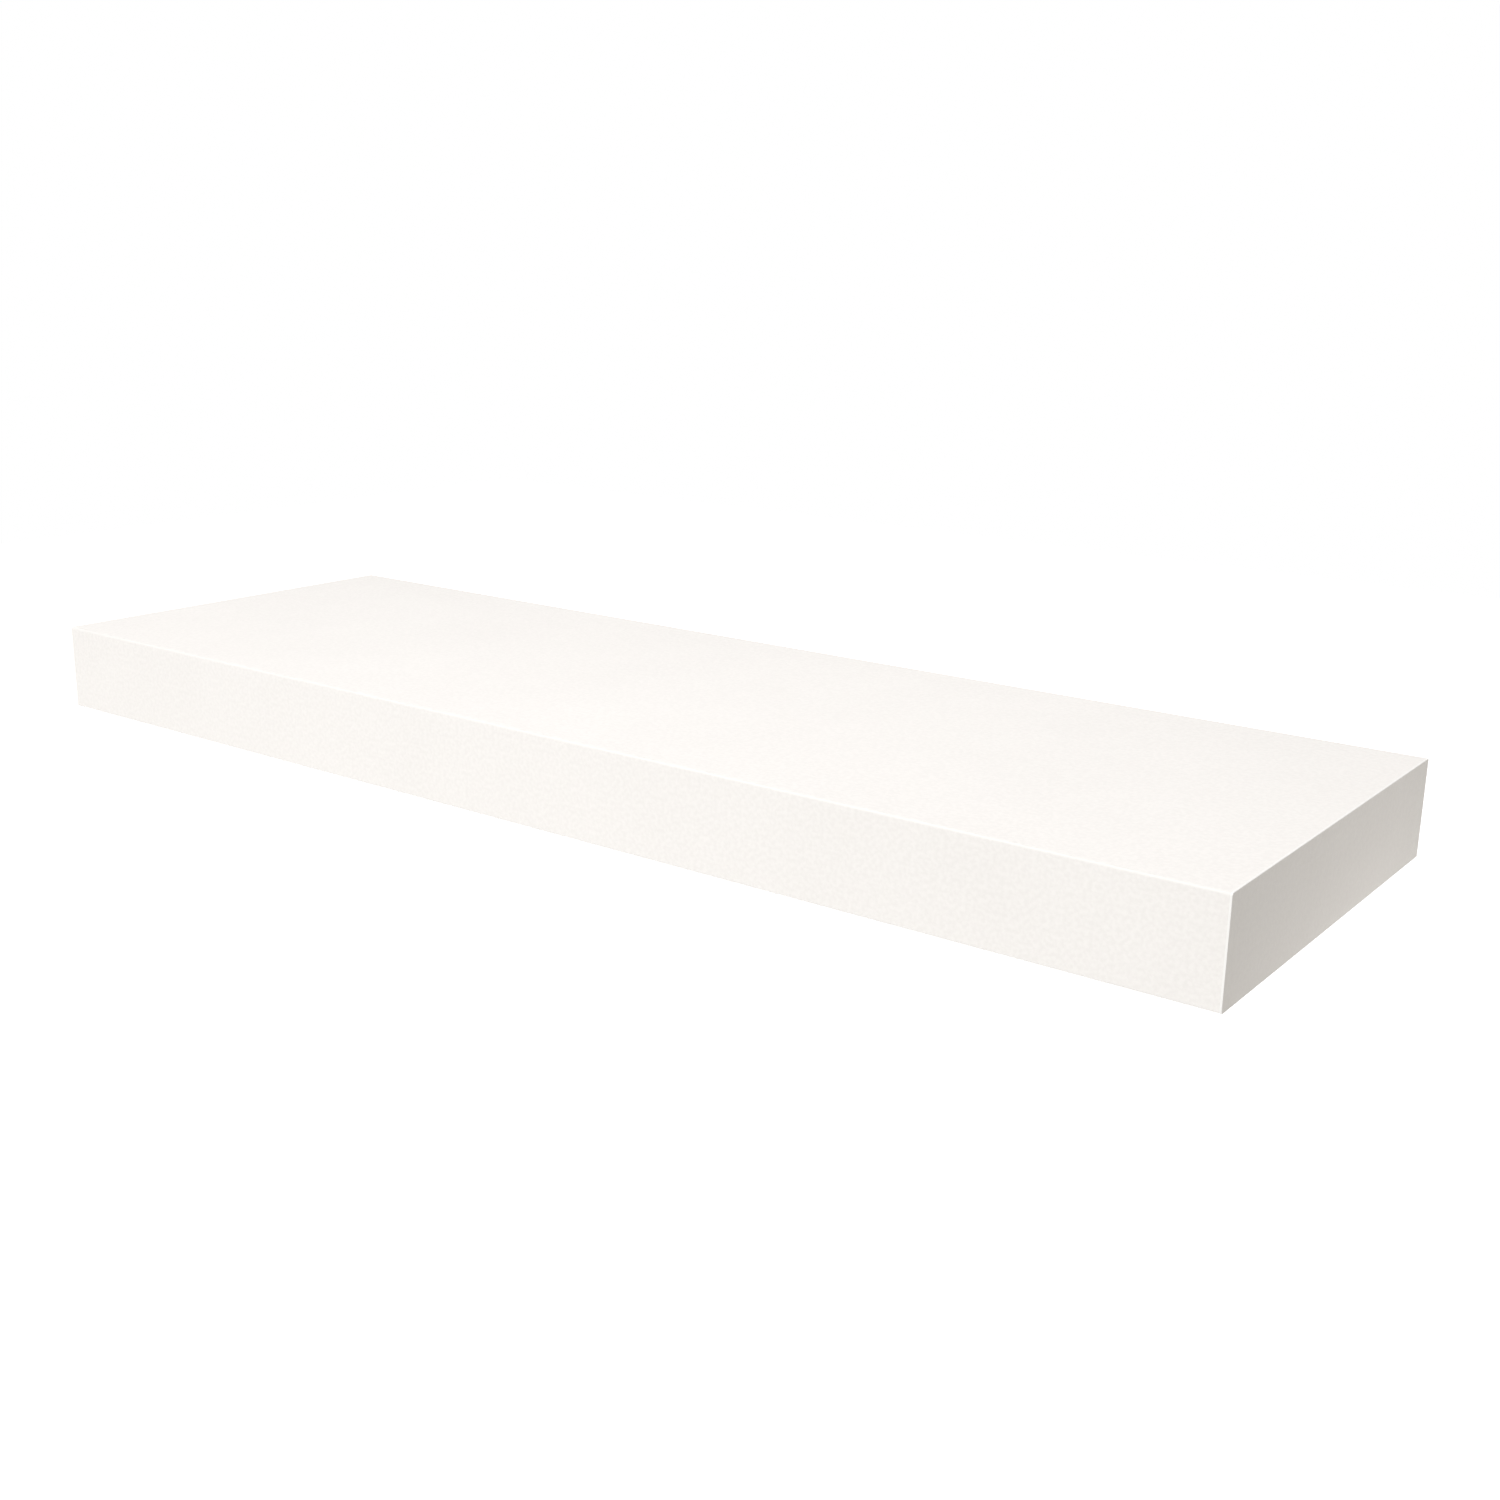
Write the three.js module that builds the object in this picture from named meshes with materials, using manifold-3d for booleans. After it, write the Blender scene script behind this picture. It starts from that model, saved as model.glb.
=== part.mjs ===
// A floating wall shelf: a hollow-core slab that hides its own bracket.
// A steel plate is screwed to the wall, and three rods stand out of it. The slab has a bore for each rod,
// slides on over them until its back edge meets the wall, and is held there by two grub screws from below.
//
// Frame: millimetres, +Z up, X along the shelf, -Y out of the wall towards the room.
// The origin is on the wall plane, in the middle of the wall plate's back face.

import * as THREE from "three";
import { mergeGeometries, mergeVertices } from "three/addons/utils/BufferGeometryUtils.js";
import Module from "manifold-3d";

const wasm = await Module();
wasm.setup();

// Overall size of the slab
const shelfLength = 762;
const shelfDepth = 248;
const shelfThickness = 51;

// Outer skin: one foil wrapped over the top, the front and the underside, and a band on each end
const wrapThickness = 0.6;
const frontEdgeRadius = 1.2;
const bandThickness = 1;
const bandEdgeRadius = 0.3;

// Core: thin boards on a chipboard frame, with paper honeycomb in the bays
const boardThickness = 3;
const frontRailDepth = 18;
const endRailThickness = 18;
const rearRailDepth = 30;
const ribWidth = 45;
const cellAcrossFlats = 32;
const paperThickness = 0.4;
const dowelRadius = 4;
const dowelLength = 30;
const dowelDepthInFrontRail = 12;
const dowelDepthInEndRail = 12;
const dowelChamfer = 0.8;

// Bracket: plate, rods and what fixes the plate to the wall.
// From each end rail inwards come the plate's end, an outer slot, an outer rod and an inner slot, which puts
// the slots at the usual 16 and 24 inch spacings of wall studs. The rods stop short of the front rail.
const plateEndClearance = 31.7;
const plateHeadroom = 2.3;
const plateThickness = 4;
const plateCornerRadius = 4;
const slotEndMargin = 25.2;
const slotToRod = 50.8;
const slotTravel = 6;
const rodRadius = 6;
const rodTipMargin = 35.1;
const rodTipChamfer = 1.5;
const weldLeg = 3;
const wallScrewRadius = 2.5;
const wallScrewLength = 50;
const wallScrewPointLength = 6;
const wallScrewHeadRadius = 4.75;
const wallScrewHeadHeight = 3.4;
const crossRecessDepth = 1.8;
const crossRecessWidth = 1;
const crossRecessSpan = 4.4;
const washerRadius = 6;
const washerThickness = 1;
const plugWall = 1.2;
const plugLength = 40;
const plugSetBack = 2.5;
const plugSlitWidth = 1;
const plugSlitLength = 26;

// Locks: a grub screw in a threaded insert under each outer rod
const lockScrewRadius = 3;
const lockScrewRecess = 3.2;
const lockScrewChamfer = 0.8;
const hexSocketAcrossFlats = 3;
const hexSocketDepth = 4;
const insertWall = 1.2;
const insertRoof = 2.8;

// Clearances
const glueLine = 0.3;
const wallClearance = 0.5;
const rodClearance = 0.5;
const accessClearance = 0.75;
const rodEndClearance = 5;
const seatClearance = 0.3;
const slotClearance = 0.5;
const headClearance = 1.2;
const cutOverrun = 2;
const vertexSnap = 1e-4;

// Facets
const arcFacets = 6;
const bandEdgeFacets = 3;
const rodFacets = 32;
const smallFacets = 24;

// Levels that more than one piece takes its place from
const halfThickness = shelfThickness / 2;
const boardOuter = halfThickness - wrapThickness - glueLine;
const boardInner = boardOuter - boardThickness;
const coreTop = boardInner - glueLine;
const coreHeight = 2 * coreTop;

const backEdge = -wallClearance;
const frontFace = -shelfDepth;
const coreFront = frontFace + wrapThickness + glueLine;
const frontRailBack = coreFront + frontRailDepth;
const plateFront = -plateThickness;
const washerFront = plateFront - washerThickness;
const rearRailBack = washerFront - wallScrewHeadHeight - headClearance;
const rearRailFront = rearRailBack - rearRailDepth;
const rearRailMiddle = rearRailBack - rearRailDepth / 2;
const ribBack = rearRailFront - glueLine;
const ribFront = frontRailBack + glueLine;
const rodTip = frontRailBack + rodTipMargin;
const rodLength = plateFront - rodTip;

const coreEnd = shelfLength / 2 - bandThickness - glueLine;
const endRailInner = coreEnd - endRailThickness;
const rearRailEnd = endRailInner - glueLine;
const plateEnd = endRailInner - plateEndClearance;
const plateTop = coreTop - plateHeadroom;
const outerSlotPlace = plateEnd - slotEndMargin;
const outerRodPlace = outerSlotPlace - slotToRod;
const innerSlotPlace = outerRodPlace - slotToRod;

const boreRadius = rodRadius + rodClearance;
const boreEnd = rodTip - rodEndClearance;
const screwHoleRadius = wallScrewRadius + seatClearance;
const plugRadius = screwHoleRadius + plugWall;
const lockHoleRadius = lockScrewRadius + seatClearance;
const accessHoleRadius = lockScrewRadius + accessClearance;
const insertRadius = lockHoleRadius + insertWall;
const insertHoleRadius = insertRadius + seatClearance;
const insertTop = -boreRadius - insertRoof;
const insertLength = insertTop + coreTop;
const lockTip = -rodRadius - seatClearance;
const lockScrewFoot = -halfThickness + lockScrewRecess;
const lockScrewLength = lockTip - lockScrewFoot;

const rodPlaces = { left: -outerRodPlace, centre: 0, right: outerRodPlace };
const lockPlaces = { left: -outerRodPlace, right: outerRodPlace };
const endSides = { left: -1, right: 1 };
const wallScrewPlaces = {
  outer_left: -outerSlotPlace,
  inner_left: -innerSlotPlace,
  inner_right: innerSlotPlace,
  outer_right: outerSlotPlace,
};

// Finishes
const finish = (color, roughness, metalness) =>
  new THREE.MeshStandardMaterial({ color, roughness, metalness });
const whiteFoil = finish("#f7f4ef", 0.45, 0);
const hardboard = finish("#7d5c3d", 0.8, 0);
const chipboard = finish("#c9a878", 0.9, 0);
const kraftPaper = finish("#b58d5f", 0.95, 0);
const beech = finish("#d8b585", 0.7, 0);
const zincSteel = finish("#b9bec4", 0.35, 1);
const blackSteel = finish("#2b2c2e", 0.4, 1);
const brassInsert = finish("#b99650", 0.4, 1);
const greyNylon = finish("#8d9196", 0.6, 0);

// A closed geometry as a solid that can be cut
function solidOf(geometry) {
  const bare = geometry.index ? geometry.toNonIndexed() : geometry.clone();
  bare.deleteAttribute("normal");
  bare.deleteAttribute("uv");
  const merged = mergeVertices(bare, vertexSnap);
  return new wasm.Manifold(
    new wasm.Mesh({
      numProp: 3,
      vertProperties: merged.attributes.position.array,
      triVerts: new Uint32Array(merged.index.array),
    }),
  );
}

// A solid back as a geometry
function geometryOf(solid) {
  const made = solid.getMesh();
  const stride = made.numProp;
  const positions = new Float32Array(made.numVert * 3);
  for (let i = 0; i < made.numVert; i++) {
    positions.set(made.vertProperties.subarray(i * stride, i * stride + 3), i * 3);
  }
  return new THREE.BufferGeometry()
    .setAttribute("position", new THREE.BufferAttribute(positions, 3))
    .setIndex(new THREE.BufferAttribute(made.triVerts, 1));
}

// A geometry with others cut out of it
function cut(geometry, ...tools) {
  return geometryOf(tools.reduce((left, tool) => left.subtract(solidOf(tool)), solidOf(geometry)));
}

// A named piece, with its own frame at the given place
function piece(name, geometry, material, x = 0, y = 0, z = 0) {
  const mesh = new THREE.Mesh(geometry, material);
  mesh.name = name;
  mesh.position.set(x, y, z);
  return mesh;
}

// A shape drawn in Y and Z, extruded along X from its middle
function alongX(shape, length) {
  const toRow = new THREE.Matrix4().makeBasis(
    new THREE.Vector3(0, 1, 0),
    new THREE.Vector3(0, 0, 1),
    new THREE.Vector3(1, 0, 0),
  );
  return new THREE.ExtrudeGeometry(shape, { depth: length, bevelEnabled: false, curveSegments: arcFacets })
    .translate(0, 0, -length / 2)
    .applyMatrix4(toRow);
}

// A shape drawn in X and Z, extruded from y = 0 towards the room
function towardsRoom(shape, depth) {
  return new THREE.ExtrudeGeometry(shape, { depth, bevelEnabled: false, curveSegments: arcFacets }).rotateX(
    Math.PI / 2,
  );
}

// A profile of [radius, height] pairs turned about its own Y axis
function turned(profile, facets) {
  return new THREE.LatheGeometry(
    profile.map(([radius, height]) => new THREE.Vector2(radius, height)),
    facets,
  );
}

// A round hole cutter along Y, between two Y levels
function holeAlongY(radius, yLow, yHigh, x = 0, z = 0, facets = rodFacets) {
  return new THREE.CylinderGeometry(radius, radius, yHigh - yLow, facets).translate(x, (yLow + yHigh) / 2, z);
}

// A round hole cutter along Z, between two Z levels
function holeAlongZ(radius, zLow, zHigh, x = 0, y = 0) {
  return new THREE.CylinderGeometry(radius, radius, zHigh - zLow, smallFacets)
    .rotateX(Math.PI / 2)
    .translate(x, y, (zLow + zHigh) / 2);
}

// A hexagonal socket cutter along Y
function hexAlongY(acrossFlats, depth) {
  const acrossCorners = acrossFlats / Math.cos(Math.PI / 6);
  return new THREE.CylinderGeometry(acrossCorners / 2, acrossCorners / 2, depth, 6);
}

// The holes that a hex key goes through to reach the grub screws, cut at a level of the underside
function accessHoles(level) {
  return Object.values(lockPlaces).map((x) =>
    holeAlongZ(accessHoleRadius, level - cutOverrun, level + cutOverrun, x, rearRailMiddle),
  );
}

// Outer skin

function decorWrap() {
  const outline = new THREE.Shape();
  const arcY = frontFace + frontEdgeRadius;
  const arcZ = halfThickness - frontEdgeRadius;
  const innerRadius = frontEdgeRadius - wrapThickness;
  const innerZ = halfThickness - wrapThickness;
  const quarter = Math.PI / 2;
  outline.moveTo(backEdge, innerZ);
  outline.lineTo(backEdge, halfThickness);
  outline.absarc(arcY, arcZ, frontEdgeRadius, quarter, 2 * quarter, false);
  outline.absarc(arcY, -arcZ, frontEdgeRadius, 2 * quarter, 3 * quarter, false);
  outline.lineTo(backEdge, -halfThickness);
  outline.lineTo(backEdge, -innerZ);
  outline.absarc(arcY, -arcZ, innerRadius, 3 * quarter, 2 * quarter, true);
  outline.absarc(arcY, arcZ, innerRadius, 2 * quarter, quarter, true);
  const geometry = cut(alongX(outline, 2 * coreEnd), ...accessHoles(-halfThickness));
  return piece("decor_wrap", geometry, whiteFoil);
}

// The end face's outline, drawn in Y and Z
function endOutline() {
  const outline = new THREE.Shape();
  const arcY = frontFace + frontEdgeRadius;
  const arcZ = halfThickness - frontEdgeRadius;
  const quarter = Math.PI / 2;
  outline.moveTo(backEdge, -halfThickness);
  outline.lineTo(backEdge, halfThickness);
  outline.absarc(arcY, arcZ, frontEdgeRadius, quarter, 2 * quarter, false);
  outline.absarc(arcY, -arcZ, frontEdgeRadius, 2 * quarter, 3 * quarter, false);
  return outline;
}

// The band's outer edges are rounded, and its inner face is cut flat where it is glued on
function endBand(side) {
  const rounded = new THREE.ExtrudeGeometry(endOutline(), {
    depth: bandThickness - bandEdgeRadius,
    bevelThickness: bandEdgeRadius,
    bevelSize: bandEdgeRadius,
    bevelOffset: -bandEdgeRadius,
    bevelSegments: bandEdgeFacets,
    curveSegments: arcFacets,
  });
  const behind = new THREE.BoxGeometry(
    2 * (shelfDepth + cutOverrun),
    shelfThickness + 2 * cutOverrun,
    cutOverrun,
  ).translate(0, 0, -cutOverrun / 2);
  const outward = new THREE.Matrix4().makeBasis(
    new THREE.Vector3(0, 1, 0),
    new THREE.Vector3(0, 0, side),
    new THREE.Vector3(side, 0, 0),
  );
  return cut(rounded, behind).applyMatrix4(outward);
}

// Boards and frame

function board(level) {
  const sign = level === "top" ? 1 : -1;
  const cornerRadius = frontEdgeRadius - wrapThickness - glueLine;
  const arcY = coreFront + cornerRadius;
  const arcZ = sign * (boardOuter - cornerRadius);
  const outline = new THREE.Shape();
  outline.moveTo(backEdge, sign * boardInner);
  outline.lineTo(backEdge, sign * boardOuter);
  outline.absarc(arcY, arcZ, cornerRadius, (sign * Math.PI) / 2, sign * Math.PI, sign < 0);
  outline.lineTo(coreFront, sign * boardInner);
  const whole = alongX(outline, 2 * coreEnd);
  const boardMiddle = (boardOuter + boardInner) / 2;
  const geometry = level === "top" ? whole : cut(whole, ...accessHoles(-boardMiddle));
  return piece(`${level}_board`, geometry, hardboard);
}

// A hole for a dowel whose middle is at the given place, along X or Y
function dowelHole(axis, x, y) {
  const hole = new THREE.CylinderGeometry(
    dowelRadius + seatClearance,
    dowelRadius + seatClearance,
    dowelLength + 2 * seatClearance,
    smallFacets,
  );
  if (axis === "x") hole.rotateZ(Math.PI / 2);
  return hole.translate(x, y, 0);
}

// Every dowel's axis and the place of its middle
const frontDowelMiddle = frontRailBack - dowelDepthInFrontRail + dowelLength / 2;
const rearDowelMiddle = endRailInner + dowelDepthInEndRail - dowelLength / 2;
const dowels = [
  ...Object.entries(rodPlaces).map(([side, x]) => ({
    name: `dowel_rib_${side}`,
    axis: "y",
    x,
    y: frontDowelMiddle,
  })),
  ...Object.entries(endSides).flatMap(([side, sign]) => [
    {
      name: `dowel_front_${side}`,
      axis: "y",
      x: sign * (coreEnd - endRailThickness / 2),
      y: frontDowelMiddle,
    },
    {
      name: `dowel_rear_${side}`,
      axis: "x",
      x: sign * rearDowelMiddle,
      y: rearRailMiddle,
    },
  ]),
];
const dowelHoles = () => dowels.map(({ axis, x, y }) => dowelHole(axis, x, y));

// A chipboard bar between two X levels and two Y levels, as tall as the core, with holes cut in it
function bar(name, xLow, xHigh, yLow, yHigh, ...holes) {
  const x = (xLow + xHigh) / 2;
  const y = (yLow + yHigh) / 2;
  const geometry = new THREE.BoxGeometry(xHigh - xLow, yHigh - yLow, coreHeight);
  return piece(name, cut(geometry, ...holes.map((hole) => hole.translate(-x, -y, 0))), chipboard, x, y);
}

function rearRail() {
  const rodBores = Object.values(rodPlaces).map((x) =>
    holeAlongY(boreRadius, rearRailFront - cutOverrun, rearRailBack + cutOverrun, x),
  );
  const lockHoles = Object.values(lockPlaces).flatMap((x) => [
    holeAlongZ(insertHoleRadius, -coreTop - cutOverrun, insertTop, x, rearRailMiddle),
    holeAlongZ(lockHoleRadius, -coreTop - cutOverrun, 0, x, rearRailMiddle),
  ]);
  return bar(
    "rear_rail",
    -rearRailEnd,
    rearRailEnd,
    rearRailFront,
    rearRailBack,
    ...rodBores,
    ...lockHoles,
    ...dowelHoles(),
  );
}

function frontRail() {
  return bar("front_rail", -coreEnd, coreEnd, coreFront, frontRailBack, ...dowelHoles());
}

function endRail(side, sign) {
  const middle = sign * (coreEnd - endRailThickness / 2);
  return bar(
    `end_rail_${side}`,
    middle - endRailThickness / 2,
    middle + endRailThickness / 2,
    frontRailBack + glueLine,
    backEdge,
    ...dowelHoles(),
  );
}

function rodRib(side, x) {
  const rodBore = holeAlongY(boreRadius, boreEnd, ribBack + cutOverrun, x);
  const half = ribWidth / 2;
  return bar(`rod_rib_${side}`, x - half, x + half, ribFront, ribBack, rodBore, ...dowelHoles());
}

function dowel({ name, axis, x, y }) {
  const half = dowelLength / 2;
  const geometry = turned(
    [
      [0, -half],
      [dowelRadius - dowelChamfer, -half],
      [dowelRadius, -half + dowelChamfer],
      [dowelRadius, half - dowelChamfer],
      [dowelRadius - dowelChamfer, half],
      [0, half],
    ],
    smallFacets,
  );
  const made = piece(name, geometry, beech, x, y);
  made.rotation.z = axis === "x" ? Math.PI / 2 : 0;
  return made;
}

// Paper honeycomb between two X levels: a block with a hexagon cut out for each cell.
// As on the bench, the paper is pulled out until a whole number of columns and rows fills the bay.
function honeycomb(name, xLow, xHigh) {
  const width = xHigh - xLow;
  const depth = ribBack - ribFront;
  const acrossCorners = cellAcrossFlats / Math.cos(Math.PI / 6);
  const looseColumnPitch = (3 / 4) * acrossCorners;
  const columns = Math.max(1, Math.round(width / looseColumnPitch));
  const rows = Math.max(1, Math.round(depth / cellAcrossFlats));
  const columnPitch = width / columns;
  const rowPitch = depth / rows;
  const openShare = 1 - paperThickness / cellAcrossFlats;
  const cellRadius = (acrossCorners / 2) * openShare;
  const cell = new THREE.CylinderGeometry(cellRadius, cellRadius, coreHeight + cutOverrun, 6)
    .rotateY(Math.PI / 6)
    .rotateX(Math.PI / 2)
    .scale(columnPitch / looseColumnPitch, rowPitch / cellAcrossFlats, 1);
  const cells = [];
  for (let column = 0; column <= columns; column++) {
    for (let row = -1; row <= rows; row++) {
      const x = column * columnPitch - width / 2;
      const y = (row + (column % 2 ? 1 / 2 : 0)) * rowPitch - depth / 2;
      cells.push(cell.clone().translate(x, y, 0));
    }
  }
  const block = new THREE.BoxGeometry(width, depth, coreHeight);
  const geometry = cut(block, mergeGeometries(cells));
  return piece(name, geometry, kraftPaper, (xLow + xHigh) / 2, (ribBack + ribFront) / 2);
}

function honeycombCores() {
  const ribFaces = Object.values(rodPlaces).flatMap((x) => [x - ribWidth / 2, x + ribWidth / 2]);
  const faces = [-endRailInner, ...ribFaces, endRailInner];
  return ["outer_left", "inner_left", "inner_right", "outer_right"].map((bay, i) =>
    honeycomb(`honeycomb_${bay}`, faces[2 * i] + glueLine, faces[2 * i + 1] - glueLine),
  );
}

// Locks

function lockInsert(side, x) {
  const geometry = turned(
    [
      [lockHoleRadius, 0],
      [insertRadius, 0],
      [insertRadius, insertLength],
      [lockHoleRadius, insertLength],
      [lockHoleRadius, 0],
    ],
    smallFacets,
  );
  const made = piece(`lock_insert_${side}`, geometry, brassInsert, x, rearRailMiddle, -coreTop);
  made.rotation.x = Math.PI / 2;
  return made;
}

// The grub screw stands on its socket end, with its tip just under the rod
function lockScrew(side, x) {
  const body = turned(
    [
      [0, 0],
      [lockScrewRadius - lockScrewChamfer, 0],
      [lockScrewRadius, lockScrewChamfer],
      [lockScrewRadius, lockScrewLength - lockScrewChamfer],
      [lockScrewRadius - lockScrewChamfer, lockScrewLength],
      [0, lockScrewLength],
    ],
    smallFacets,
  );
  const socket = hexAlongY(hexSocketAcrossFlats, 2 * hexSocketDepth);
  const geometry = cut(body, socket);
  const made = piece(`lock_screw_${side}`, geometry, blackSteel, x, rearRailMiddle, lockScrewFoot);
  made.rotation.x = Math.PI / 2;
  return made;
}

// Bracket

function wallPlate() {
  const arcX = plateEnd - plateCornerRadius;
  const arcZ = plateTop - plateCornerRadius;
  const quarter = Math.PI / 2;
  const outline = new THREE.Shape();
  outline.absarc(arcX, arcZ, plateCornerRadius, 0, quarter, false);
  outline.absarc(-arcX, arcZ, plateCornerRadius, quarter, 2 * quarter, false);
  outline.absarc(-arcX, -arcZ, plateCornerRadius, 2 * quarter, 3 * quarter, false);
  outline.absarc(arcX, -arcZ, plateCornerRadius, 3 * quarter, 4 * quarter, false);
  const slotRadius = wallScrewRadius + slotClearance;
  const slotReach = slotTravel / 2;
  for (const x of Object.values(wallScrewPlaces)) {
    const slot = new THREE.Path();
    slot.absarc(x + slotReach, 0, slotRadius, -quarter, quarter, false);
    slot.absarc(x - slotReach, 0, slotRadius, quarter, 3 * quarter, false);
    outline.holes.push(slot);
  }
  return piece("wall_plate", towardsRoom(outline, plateThickness), zincSteel);
}

function rod(side, x) {
  const geometry = turned(
    [
      [0, -rodLength],
      [rodRadius - rodTipChamfer, -rodLength],
      [rodRadius, -rodLength + rodTipChamfer],
      [rodRadius, 0],
      [0, 0],
    ],
    rodFacets,
  );
  return piece(`rod_${side}`, geometry, zincSteel, x, plateFront);
}

// The fillet weld round a rod's base, which joins it to the plate
function weld(side, x) {
  const inner = rodRadius + seatClearance;
  const geometry = turned(
    [
      [inner, -weldLeg],
      [rodRadius + weldLeg, 0],
      [inner, 0],
      [inner, -weldLeg],
    ],
    rodFacets,
  );
  return piece(`weld_${side}`, geometry, zincSteel, x, plateFront);
}

// A pan-head screw from the washer's face back into the wall
function wallScrew(place, x) {
  const shoulder = wallScrewHeadHeight / 3;
  const crown = (wallScrewHeadRadius * 2) / 3;
  const body = turned(
    [
      [0, -wallScrewHeadHeight],
      [crown, -wallScrewHeadHeight],
      [wallScrewHeadRadius, -shoulder],
      [wallScrewHeadRadius, 0],
      [wallScrewRadius, 0],
      [wallScrewRadius, wallScrewLength - wallScrewPointLength],
      [0, wallScrewLength],
    ],
    smallFacets,
  );
  const recessY = -wallScrewHeadHeight - cutOverrun + crossRecessDepth;
  const recessBar = (spanX, spanZ) =>
    new THREE.BoxGeometry(spanX, 2 * cutOverrun, spanZ).translate(0, recessY, 0);
  const geometry = cut(
    body,
    recessBar(crossRecessSpan, crossRecessWidth),
    recessBar(crossRecessWidth, crossRecessSpan),
  );
  return piece(`wall_screw_${place}`, geometry, zincSteel, x, washerFront);
}

function washer(place, x) {
  const geometry = turned(
    [
      [screwHoleRadius, -washerThickness],
      [washerRadius, -washerThickness],
      [washerRadius, 0],
      [screwHoleRadius, 0],
      [screwHoleRadius, -washerThickness],
    ],
    smallFacets,
  );
  return piece(`washer_${place}`, geometry, zincSteel, x, plateFront);
}

// The plug lies in the wall. Its far end is slit, so that the screw can spread it.
function wallPlug(place, x) {
  const sleeve = turned(
    [
      [screwHoleRadius, 0],
      [plugRadius, 0],
      [plugRadius, plugLength],
      [screwHoleRadius, plugLength],
      [screwHoleRadius, 0],
    ],
    smallFacets,
  );
  const slitMiddle = plugLength + cutOverrun - (plugSlitLength + cutOverrun) / 2;
  const slit = new THREE.BoxGeometry(
    plugSlitWidth,
    plugSlitLength + cutOverrun,
    2 * (plugRadius + cutOverrun),
  ).translate(0, slitMiddle, 0);
  return piece(`wall_plug_${place}`, cut(sleeve, slit), greyNylon, x, plugSetBack);
}

// The three moving groups: what stays on the wall, what slides off it, and the two grub screws
function bracketGroup() {
  const group = new THREE.Group();
  group.add(wallPlate());
  for (const [side, x] of Object.entries(rodPlaces)) group.add(rod(side, x), weld(side, x));
  for (const [place, x] of Object.entries(wallScrewPlaces)) {
    group.add(wallScrew(place, x), washer(place, x), wallPlug(place, x));
  }
  return group;
}

function shelfGroup() {
  const group = new THREE.Group();
  group.add(decorWrap(), board("top"), board("bottom"), frontRail(), rearRail());
  for (const [side, sign] of Object.entries(endSides)) {
    group.add(piece(`end_band_${side}`, endBand(sign), whiteFoil, sign * (coreEnd + glueLine)));
    group.add(endRail(side, sign));
  }
  for (const [side, x] of Object.entries(rodPlaces)) group.add(rodRib(side, x));
  group.add(...honeycombCores(), ...dowels.map(dowel));
  for (const [side, x] of Object.entries(lockPlaces)) group.add(lockInsert(side, x));
  return group;
}

function lockGroup() {
  const group = new THREE.Group();
  for (const [side, x] of Object.entries(lockPlaces)) group.add(lockScrew(side, x));
  return group;
}

const floatingShelf = new THREE.Group();
floatingShelf.add(bracketGroup(), shelfGroup(), lockGroup());

export default floatingShelf;
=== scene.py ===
# %% [markdown]
# # A floating wall shelf
#
# The real object is a thick white slab with nothing to be seen holding it up. It slides onto three steel
# rods, which stand out of a plate on the wall, and two grub screws under it lock it there.
#
# The CAD model gives every piece its size and place. This notebook gives the pieces their looks: a finer mesh
# where a plain solid would show, and a procedural material on everything.

# %% Load the CAD model as a fixed frame
from math import atan2, cos, degrees, pi, radians, sin

import bmesh
import bpy
from mathutils import Matrix, Vector


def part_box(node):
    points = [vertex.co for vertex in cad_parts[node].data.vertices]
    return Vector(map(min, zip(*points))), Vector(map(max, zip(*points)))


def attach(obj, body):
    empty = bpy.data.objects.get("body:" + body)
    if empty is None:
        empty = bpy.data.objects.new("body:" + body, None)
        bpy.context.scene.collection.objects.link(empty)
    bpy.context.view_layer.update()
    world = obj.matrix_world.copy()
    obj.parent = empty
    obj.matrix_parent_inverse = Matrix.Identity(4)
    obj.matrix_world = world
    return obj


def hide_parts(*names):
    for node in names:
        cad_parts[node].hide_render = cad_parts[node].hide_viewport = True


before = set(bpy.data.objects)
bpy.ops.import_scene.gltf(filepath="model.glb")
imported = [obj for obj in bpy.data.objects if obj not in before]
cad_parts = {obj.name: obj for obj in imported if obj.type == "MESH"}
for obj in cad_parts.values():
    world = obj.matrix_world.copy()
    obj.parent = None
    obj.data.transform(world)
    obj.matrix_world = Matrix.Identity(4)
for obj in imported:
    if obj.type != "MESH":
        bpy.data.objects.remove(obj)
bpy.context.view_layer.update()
MM = 0.001

# %% [markdown]
# ## Camera
#
# The photo looks at the shelf from the right and a little above. The viewpoint comes from fitting a camera to
# the slab's visible corners and edges. A Track To constraint could aim it, but can't hold the small roll that
# the photo has. So three turns aim it: about Z to the side, about X for the dip, and about its line of sight
# for the roll.

# %% Place the camera
CAMERA_PLACE = (0.6206, -0.8901, 0.2641)
CAMERA_SIDE, CAMERA_DIP, CAMERA_ROLL = (radians(angle) for angle in (36.333, 15.64, 1.005))
CAMERA_LENS = 43.471


def new_object(name, data):
    """An object in the scene."""
    thing = bpy.data.objects.new(name, data)
    bpy.context.scene.collection.objects.link(thing)
    return thing


camera_data = bpy.data.cameras.new("photo_camera")
camera_data.lens = CAMERA_LENS
camera = new_object("photo_camera", camera_data)
camera.matrix_world = (
    Matrix.Translation(CAMERA_PLACE)
    @ Matrix.Rotation(CAMERA_SIDE, 4, "Z")
    @ Matrix.Rotation(pi / 2 - CAMERA_DIP, 4, "X")
    @ Matrix.Rotation(CAMERA_ROLL, 4, "Z")
)
bpy.context.scene.camera = camera
bpy.context.scene.view_settings.view_transform = "Standard"
print("camera at", CAMERA_PLACE, "with a lens of", CAMERA_LENS, "mm")

# %% [markdown]
# ## Nodes in code
#
# A material can be wired by hand in the shader editor, or in code, which can be read and run again. The first
# helper adds a node, sets its options, and fills each input with a value or with another node's output. The
# second is for sums, and the third empties a node tree. The world's tree is the first one that they fill.


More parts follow.
